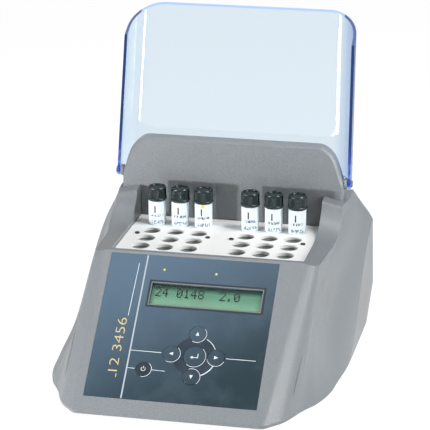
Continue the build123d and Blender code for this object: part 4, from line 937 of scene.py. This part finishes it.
# ------------------------------------------------------------------------------ studio
@dataclass
class Studio:
    """Camera at the photograph's angle, a pale floor, soft lamps and a white surround."""

    position: tuple[float, float, float] = (370.4, -1699.1, 716.6)
    azimuth: float = 12.0016
    elevation: float = 18.3866
    roll: float = 0.04
    focal_pixels: float = 2047.15
    frame_pixels: float = 430.0
    sensor: float = 36.0
    ambient: float = 0.05

    def camera(self) -> bpy.types.Object:
        """Makes the camera from its place and its two viewing angles.

        Returns:
            The camera object.
        """
        data = bpy.data.cameras.new("camera")
        data.sensor_width = self.sensor
        data.lens = self.sensor * self.focal_pixels / self.frame_pixels
        data.clip_start, data.clip_end = 0.05, 50.0
        turn, rise, roll = (math.radians(x) for x in (self.azimuth, self.elevation, self.roll))
        back = np.array([math.sin(turn) * math.cos(rise), -math.cos(turn) * math.cos(rise), math.sin(rise)])
        level = np.array([math.cos(turn), math.sin(turn), 0.0])
        upright = np.cross(back, level)
        right = math.cos(roll) * level + math.sin(roll) * upright
        up = np.cross(back, right)
        made = bpy.data.objects.new("camera", data)
        bpy.context.scene.collection.objects.link(made)
        axes = np.stack([right, up, back], axis=1)
        place = np.eye(4)
        place[:3, :3] = axes
        place[:3, 3] = np.array(self.position) * MM
        made.matrix_world = Matrix(place.tolist())
        bpy.context.scene.camera = made
        return made

    def lamp(self, name: str, place: tuple[float, float, float], size: tuple[float, float], power: float) -> None:
        """Adds a rectangular lamp that faces the object.

        Args:
            name: The lamp's name.
            place: Where it stands, in metres.
            size: Its width and height, in metres.
            power: Its power in watts.
        """
        data = bpy.data.lights.new(name, "AREA")
        data.shape = "RECTANGLE"
        data.size, data.size_y = size
        data.energy = power
        made = bpy.data.objects.new(name, data)
        made.location = place
        aim = Vector((0.0, 0.0, 0.12)) - Vector(place)
        made.rotation_euler = aim.to_track_quat("-Z", "Y").to_euler()
        bpy.context.scene.collection.objects.link(made)

    def surround(self) -> None:
        """White to the camera and to mirrors and glass, and a dim even light for the rest."""
        world = bpy.data.worlds.new("surround")
        world.use_nodes = True
        tree = Tree(world.node_tree)
        path = tree.add("ShaderNodeLightPath").outputs
        seen = tree.math("MAXIMUM", path["Is Camera Ray"], path["Is Transmission Ray"])
        seen = tree.math("MAXIMUM", seen, tree.math("MULTIPLY", path["Is Glossy Ray"], 0.6))
        strength = tree.math("MAXIMUM", seen, self.ambient)
        shade = tree.add("ShaderNodeBackground", {"Color": (1.0, 1.0, 1.0), "Strength": strength})
        tree.put(tree.add("ShaderNodeOutputWorld").inputs["Surface"], shade.outputs[0])
        bpy.context.scene.world = world

    def floor(self) -> None:
        """Pale floor under the object, white to the camera, that keeps a soft shadow."""
        half = 6000.0
        points = np.array([[-half, -half, -0.2], [half, -half, -0.2], [half, half, -0.2], [-half, half, -0.2]])
        made = bpy.data.materials.new("floor_white")
        made.use_nodes = True
        tree = Tree(made.node_tree)
        path = tree.add("ShaderNodeLightPath").outputs
        seen = tree.math("MAXIMUM", path["Is Camera Ray"], path["Is Transmission Ray"])
        plain = tree.add("ShaderNodeBsdfDiffuse", {"Color": (0.9, 0.9, 0.9)})
        bright = tree.add("ShaderNodeEmission", {"Color": (1.0, 1.0, 1.0), "Strength": 1.07})
        mixed = tree.add("ShaderNodeMixShader", {0: tree.math("MULTIPLY", seen, 0.9)})
        tree.put(mixed.inputs[1], plain.outputs[0])
        tree.put(mixed.inputs[2], bright.outputs[0])
        tree.put(tree.add("ShaderNodeOutputMaterial").inputs["Surface"], mixed.outputs[0])
        make_piece("floor", points, [[0, 1, 2, 3]], made, smooth=False)

    def build(self) -> None:
        """Camera first, then surround, floor and lamps."""
        self.camera()
        self.surround()
        self.floor()
        self.lamp("key_lamp", (-0.66, -0.76, 0.18), (0.09, 0.09), 8.5)
        self.lamp("low_left_lamp", (-1.3, -0.8, 0.2), (0.3, 0.4), 9.0)
        self.lamp("overhead_lamp", (0.7, 0.0, 1.4), (0.45, 0.45), 14.0)
        self.lamp("top_lamp", (-0.3, -0.1, 1.5), (0.9, 0.7), 3.0)
        self.lamp("right_lamp", (1.35, -0.45, 0.6), (0.12, 1.1), 18.0)
        bpy.context.scene.view_settings.view_transform = "Standard"


# ------------------------------------------------------------------------------ sub-assemblies
@dataclass
class Shell:
    """Grey mouldings, their hinge pieces and the tinted hood."""

    def build(self) -> list[bpy.types.Object]:
        """Dresses the shell's nodes.

        Returns:
            The dressed objects.
        """
        return [
            *dress(HOUSING, "upper_housing"),
            *dress(WALL_GREY, "rear_wall"),
            *dress(BUSH, "hinge_bush_left", "hinge_bush_right"),
            *dress(PIN, "hinge_pin_left", "hinge_pin_right"),
            *dress(HOOD, "lid"),
        ]


@dataclass
class HeatedBlock:
    """Well plate, heating blocks and what holds and heats them."""

    def build(self) -> list[bpy.types.Object]:
        """Dresses the block's nodes.

        Returns:
            The dressed objects.
        """
        pieces = dress(PLATE, "well_plate_left", "well_plate_right")
        pieces += dress(STEEL, "block_tray") + dress(SCREW, "plate_screws")
        for side in ("left", "right"):
            pieces += dress(ALUMINIUM, f"heating_block_{side}")
            pieces += dress(HEATER, f"heater_plate_{side}")
            pieces += dress(INSULATION, f"insulation_{side}")
            pieces += dress(STEEL, f"temperature_sensor_{side}", f"thermal_cutout_{side}")
        return pieces


@dataclass
class Vials:
    """Six capped reaction vials in the rear row, with ribbed caps and paper labels."""

    columns: tuple[float, ...] = (-66.0, -44.0, -22.0, 22.0, 44.0, 66.0)
    row: float = 57.7
    top: float = 144.4
    cap_radius: float = 8.5
    cap_height: float = 12.0
    collar_radius: float = 9.1
    neck_radius: float = 6.05
    glass_radius: float = 8.0
    label_low: float = 96.0
    label_high: float = 131.2
    rib_count: int = 40
    rib_depth: float = 0.32
    dot_radius: float = 1.6

    def cap(self, number: int, x: float) -> bpy.types.Object:
        """Ribbed screw cap with a sunk top, open below round the neck.

        Args:
            number: Number of the vial.
            x: Place of its axis.

        Returns:
            The cap.
        """
        radius, collar, top, low = self.cap_radius, self.collar_radius, self.top, self.top - self.cap_height
        rim, sunk = radius - 1.9, top - 1.0
        profile = np.array([
            (0.0, top - 2.4), (self.neck_radius - 0.4, top - 2.4), (self.neck_radius, top - 2.8),
            (self.neck_radius, low + 0.3), (self.neck_radius + 0.3, low), (collar - 0.3, low),
            (collar, low + 0.3), (collar, low + 1.2), (collar - 0.25, low + 1.55), (radius, low + 1.75),
            (radius, low + 6.0), (radius, top - 2.6), (radius, top - 2.0), (radius, top - 1.4),
            (radius - 0.12, top - 0.7), (radius - 0.4, top - 0.25), (radius - 0.9, top), (rim + 0.3, top),
            (rim + 0.08, top - 0.1), (rim, top - 0.3), (rim, sunk + 0.15), (rim - 0.15, sunk),
            (0.0, sunk),
        ])
        share = np.array([0] * 9 + [1] * 4 + [0] * 10, float)
        points, faces = turned(profile, 4 * self.rib_count, (x, self.row), share, self.rib_count, self.rib_depth)
        piece = make_piece(f"ribbed_cap_{number}", points, faces, CAP.material())
        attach(piece, f"vial_{number}")
        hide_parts(f"vial_cap_{number}")
        return piece

    def label(self, number: int, x: float) -> bpy.types.Object:
        """Paper label round the glass: a thin rectangle carried round the axis.

        Args:
            number: Number of the vial.
            x: Place of its axis.

        Returns:
            The label.
        """
        steps = 73
        seam = math.radians(96.0)
        turn = np.linspace(seam, seam + math.radians(352.0), steps)
        inner, outer = self.glass_radius + 0.02, self.glass_radius + 0.1
        corners = [(inner, self.label_low), (outer, self.label_low), (outer, self.label_high), (inner, self.label_high)]
        rows = np.array([[radius, height] for radius, height in corners])
        px = x + rows[None, :, 0] * np.cos(turn)[:, None]
        py = self.row + rows[None, :, 0] * np.sin(turn)[:, None]
        pz = np.broadcast_to(rows[None, :, 1], px.shape)
        points = np.stack([px, py, pz], axis=-1).reshape(-1, 3)
        faces = grid_faces(steps, 4, False, True).tolist()
        faces += [[3, 2, 1, 0], [4 * steps - 4, 4 * steps - 3, 4 * steps - 2, 4 * steps - 1]]
        share = (turn - turn[0]) / (2 * np.pi)
        front = (math.radians(281.0) - turn[0]) / (2 * np.pi)
        u = np.repeat(share - front + 0.5, 4)
        v = np.tile([0.0, 0.0, 1.0, 1.0], steps)
        piece = make_piece(f"vial_label_{number}", points, faces, LABEL.material(), uv=np.stack([u, v], axis=1))
        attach(piece, f"vial_{number}")
        return piece

    def dot(self, number: int, x: float) -> bpy.types.Object:
        """Small round sticker near the top of one label.

        Args:
            number: Number of the vial.
            x: Place of its axis.

        Returns:
            The sticker.
        """
        turn = np.linspace(0.0, 2 * np.pi, 24, endpoint=False)
        angle = math.radians(-84.0) + self.dot_radius * np.cos(turn) / self.glass_radius
        height = self.label_high - 2.0 + self.dot_radius * np.sin(turn)
        levels = (self.glass_radius + 0.08, self.glass_radius + 0.18)
        rings = [
            np.stack([x + radius * np.cos(angle), self.row + radius * np.sin(angle), height], axis=1) for radius in levels
        ]
        facing = math.radians(-84.0)
        middle = [x + levels[1] * math.cos(facing), self.row + levels[1] * math.sin(facing), self.label_high - 2.0]
        rings.append(np.array([middle]))
        ring = np.arange(24)
        after = (ring + 1) % 24
        walls = np.stack([ring, after, after + 24, ring + 24], axis=1).tolist()
        fan = np.stack([ring + 24, after + 24, np.full(24, 48)], axis=1).tolist()
        faces = [list(range(24))[::-1], *fan, *walls]
        piece = make_piece(f"vial_dot_{number}", np.concatenate(rings), faces, YELLOW_DOT.material(), smooth=False)
        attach(piece, f"vial_{number}")
        return piece

    def build(self) -> list[bpy.types.Object]:
        """Glass, cap and label of each vial.

        Returns:
            All their pieces.
        """
        pieces = []
        for number, column in enumerate(self.columns, start=1):
            x = UPPER_SHIFT + column
            pieces += dress(GLASS, f"vial_glass_{number}")
            pieces += [self.cap(number, x), self.label(number, x)]
        pieces.append(self.dot(3, UPPER_SHIFT + self.columns[2]))
        return pieces


DOT_ROWS = {
    "0": (14, 17, 19, 21, 25, 17, 14), "1": (4, 12, 4, 4, 4, 4, 14), "2": (14, 17, 1, 2, 4, 8, 31),
    "3": (31, 2, 4, 2, 1, 17, 14), "4": (2, 6, 10, 18, 31, 2, 2), "5": (31, 16, 30, 1, 1, 17, 14),
    "6": (6, 8, 16, 30, 17, 17, 14), "7": (31, 1, 2, 4, 8, 8, 8), "8": (14, 17, 17, 14, 17, 17, 14),
    "9": (14, 17, 17, 15, 1, 2, 12), ".": (0, 0, 0, 0, 0, 12, 12), " ": (0, 0, 0, 0, 0, 0, 0),
}


@dataclass
class ControlFace:
    """Sloped panel: foil, printed lines, keys with their signs, display and lamps."""

    keys: dict[str, tuple[float, float, float]] = field(default_factory=lambda: {
        "enter": (14.8, -25.1, 9.3), "up": (14.3, -3.7, 7.3), "left": (-5.7, -24.2, 7.3),
        "right": (33.7, -24.8, 7.3), "down": (14.9, -44.6, 7.3), "power": (-27.7, -40.8, 6.5),
    })
    key_raise: float = 0.5
    ink: float = 0.06
    display_middle: tuple[float, float] = (15.6, 32.4)
    view_size: tuple[float, float] = (98.6, 21.0)
    display_top: float = -2.1
    window_top: float = 0.22
    shown: str = "24 0148  2.0"

    def print_lines(self) -> bpy.types.Object:
        """Thin straight lines and arcs of light ink on the foil.

        Returns:
            The printed piece.
        """
        low, high = -0.01, self.ink
        parts = [
            line_plate(PANEL, (-49.0, 61.0), (-50.0, 9.0), 0.5, low, high),
            line_plate(PANEL, (-41.6, -23.8), (-14.4, -24.0), 0.5, low, high),
            line_plate(PANEL, (42.4, -24.8), (68.4, -24.8), 0.5, low, high),
            line_plate(PANEL, (-41.6, -40.6), (-35.4, -40.8), 0.45, low, high),
            line_plate(PANEL, (-20.2, -40.9), (-8.6, -41.2), 0.45, low, high),
        ]
        spans = {
            "enter": (-125.0, 50.0), "up": (-118.0, 42.0), "left": (-118.0, 48.0), "right": (-165.0, -22.0),
            "down": (-48.0, 112.0), "power": (-100.0, 55.0),
        }
        for name, (start, end) in spans.items():
            x, y, radius = self.keys[name]
            parts.append(ribbon_plate(
                PANEL, arc((x, y), radius + 0.35, start, end), arc((x, y), radius + 0.8, start, end), low, high, False,
            ))
        x, y, _ = self.keys["enter"]
        for start, end, width in ((25.2, 64.0, 0.55), (-66.0, -24.0, 0.9)):
            parts.append(ribbon_plate(
                PANEL, arc((x, y), 18.6, start, end), arc((x, y), 18.6 + width, start, end), low, high, False,
            ))
        points, faces = joined(parts)
        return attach(make_piece("panel_lines", points, faces, WHITE_INK.material(), smooth=False), "base")

    def separator(self) -> bpy.types.Object:
        """Broad light line that parts the number column from the keypad."""
        points, faces = line_plate(PANEL, (-42.4, -69.6), (-42.4, 69.6), 1.3, -0.01, self.ink)
        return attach(make_piece("panel_separator", points, faces, SILVER_INK.material(), smooth=False), "base")

    def sign(self, name: str, parts: list[tuple[Array, list[list[int]]]]) -> bpy.types.Object:
        """One printed sign that moves with its key.

        Args:
            name: The key's name.
            parts: Points and faces of the sign.

        Returns:
            The sign.
        """
        points, faces = joined(parts)
        piece = make_piece(f"key_sign_{name}", points, faces, WHITE_INK.material(), smooth=False)
        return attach(piece, f"key_{name}")

    def key_signs(self) -> list[bpy.types.Object]:
        """Arrows on four keys, a return sign on the middle one and the power sign.

        Returns:
            The signs.
        """
        low, high = self.key_raise - 0.02, self.key_raise + self.ink
        made = []
        directions = {"up": (0.0, 1.0), "down": (0.0, -1.0), "left": (-1.0, 0.0), "right": (1.0, 0.0)}
        for name, (ax, ay) in directions.items():
            x, y, _ = self.keys[name]
            tip, base, half = 2.0, -1.6, 1.6
            local = np.array([(base, -half), (tip, 0.0), (base, half)])
            outline = np.stack([x + local[:, 0] * ax - local[:, 1] * ay, y + local[:, 0] * ay + local[:, 1] * ax], axis=1)
            made.append(self.sign(name, [outline_plate(PANEL, outline, low, high)]))
        x, y, _ = self.keys["power"]
        ring = ribbon_plate(PANEL, arc((x, y), 1.55, 130.0, 410.0), arc((x, y), 2.05, 130.0, 410.0), low, high, False)
        made.append(self.sign("power", [ring, line_plate(PANEL, (x, y + 0.4), (x, y + 2.5), 0.5, low, high)]))
        x, y, _ = self.keys["enter"]
        head = np.array([(x - 3.6, y - 1.2), (x - 1.4, y - 2.7), (x - 1.4, y + 0.3)])
        made.append(self.sign("enter", [
            line_plate(PANEL, (x - 1.5, y - 1.2), (x + 3.4, y - 1.2), 0.7, low, high),
            line_plate(PANEL, (x + 3.05, y - 1.0), (x + 3.05, y + 2.6), 0.7, low, high),
            outline_plate(PANEL, head, low, high),
        ]))
        return made

    def gold_numbers(self) -> bpy.types.Object:
        """Plain numbers in gold ink that run up the left column, with a short dash below.

        Returns:
            The printed piece.
        """
        curve = bpy.data.curves.new("column_numbers", "FONT")
        curve.body, curve.size, curve.extrude = "12 3456", 12.2, 0.035
        curve.offset = -0.16
        holder = bpy.data.objects.new("column_numbers", curve)
        bpy.context.scene.collection.objects.link(holder)
        bpy.context.view_layer.update()
        source = bpy.data.meshes.new_from_object(holder.evaluated_get(bpy.context.evaluated_depsgraph_get()))
        count = len(source.vertices)
        flat = np.zeros(count * 3)
        source.vertices.foreach_get("co", flat)
        flat = flat.reshape(-1, 3)
        faces = [list(polygon.vertices) for polygon in source.polygons]
        bpy.data.objects.remove(holder)
        length = 51.5
        scale = length / np.ptp(flat[:, 0])
        run = (flat[:, 0] - flat[:, 0].min()) * scale
        placed = np.stack([-50.2 - flat[:, 1], -45.0 + run], axis=1)
        points = PANEL.world(placed, flat[:, 2] + 0.03)
        dash = line_plate(PANEL, (-50.6, -50.4), (-50.6, -46.8), 0.7, -0.01, self.ink)
        points, faces = joined([(points, faces), dash])
        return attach(make_piece("gold_numbers", points, faces, GOLD_INK.material(), smooth=False), "base")

    def display_frame(self) -> list[bpy.types.Object]:
        """Dark rim and a painted highlight of a thin bevel round the display's view, on the clear window.

        Returns:
            The two frames.
        """
        cx, cy = self.display_middle
        half_w, half_h = self.view_size[0] / 2, self.view_size[1] / 2
        corners = np.array([(-1, -1), (1, -1), (1, 1), (-1, 1)], float)
        made = []
        rings = (
            ("display_rim", 1.0, 2.5, -0.02, 0.1, DARK_INK), ("display_bevel_highlight", 0.1, 1.0, -0.1, 0.08, BEVEL_HIGHLIGHT),
        )
        for name, inner, outer, low, high, finish in rings:
            inside = np.array([cx, cy]) + corners * (half_w + inner, half_h + inner)
            outside = np.array([cx, cy]) + corners * (half_w + outer, half_h + outer)
            points, faces = ribbon_plate(
                PANEL, inside, outside, self.window_top + low, self.window_top + high, closed=True
            )
            made.append(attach(make_piece(name, points, faces, finish.material(), smooth=False), "base"))
        return made

    def display_digits(self) -> bpy.types.Object:
        """Plain numbers of the display's upper row, each a 5 by 7 net of small dark squares.

        Returns:
            The shown digits.
        """
        pitch, step_x, step_y, size_x, size_y = 6.4, 1.02, 1.26, 1.12, 1.3
        left = self.display_middle[0] - self.view_size[0] / 2 + 3.4
        top = self.display_middle[1] + self.view_size[1] / 2 - 3.2
        parts = []
        for place, letter in enumerate(self.shown):
            for row, bits in enumerate(DOT_ROWS[letter]):
                for column in range(5):
                    if bits >> (4 - column) & 1:
                        x = left + place * pitch + column * step_x
                        y = top - row * step_y
                        square = np.array([(x, y - size_y), (x + size_x, y - size_y), (x + size_x, y), (x, y)])
                        parts.append(outline_plate(PANEL, square, self.display_top - 0.01, self.display_top + 0.12))
        points, faces = joined(parts)
        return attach(make_piece("display_digits", points, faces, PIXEL_INK.material(), smooth=False), "base")

    def build(self) -> list[bpy.types.Object]:
        """Everything on the sloped panel.

        Returns:
            All its pieces.
        """
        pieces = [
            *dress(FOIL, "control_panel"),
            *dress(WINDOW, "display_window"),
            *dress(DISPLAY, "lcd_module"),
            *dress(LAMP, "status_led_left", "status_led_right"),
            *dress(PANEL_BOARD, "display_board"),
            *dress(STEEL, "key_domes", "board_screws"),
            *dress(KEY, *(f"key_{name}" for name in self.keys if name != "power")),
            *dress(POWER_KEY, "key_power"),
        ]
        pieces += [self.print_lines(), self.separator(), self.gold_numbers(), self.display_digits()]
        return pieces + self.display_frame() + self.key_signs()


@dataclass
class BaseAndMains:
    """Base pan, feet, boards and the mains parts of the rear panel."""

    switch_x: float = 46.0

    def switch_signs(self) -> bpy.types.Object:
        """A stroke and a ring moulded beside the rocker, for on and off.

        Returns:
            The two signs as one piece.
        """
        bar = line_plate(REAR, (self.switch_x, 8.0), (self.switch_x, 9.8), 0.5, 1.78, 1.88)
        ring = ribbon_plate(
            REAR, arc((self.switch_x, -8.9), 0.6, 0.0, 354.0), arc((self.switch_x, -8.9), 0.95, 0.0, 354.0), 1.78, 1.88, False,
        )
        points, faces = joined([bar, ring])
        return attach(make_piece("switch_signs", points, faces, WHITE_INK.material(), smooth=False), "base")

    def build(self) -> list[bpy.types.Object]:
        """Dresses the nodes of the base and the rear panel.

        Returns:
            Their pieces.
        """
        return [
            *dress(SHEET, "base_pan", "rear_panel"),
            *dress(RUBBER, "feet"),
            *dress(STEEL, "base_screws", "rear_panel_screws"),
            *dress(MAIN_BOARD, "main_board"),
            *dress(CORE, "transformer"),
            *dress(RIBBON, "ribbon_cable"),
            *dress(DARK, "mains_inlet", "fuse_holder", "fuse_drawer", "switch_housing", "power_rocker"),
            self.switch_signs(),
        ]


def main() -> None:
    """Builds the studio and every sub-assembly, and reports each piece."""
    logging.basicConfig(level=logging.INFO, format="%(name)s %(message)s")
    Studio().build()
    for assembly in (Shell(), HeatedBlock(), Vials(), ControlFace(), BaseAndMains()):
        for piece in assembly.build():
            log.info("%s: %s, %d faces", type(assembly).__name__, piece.name, len(piece.data.polygons))


if __name__ == "__main__":
    main()
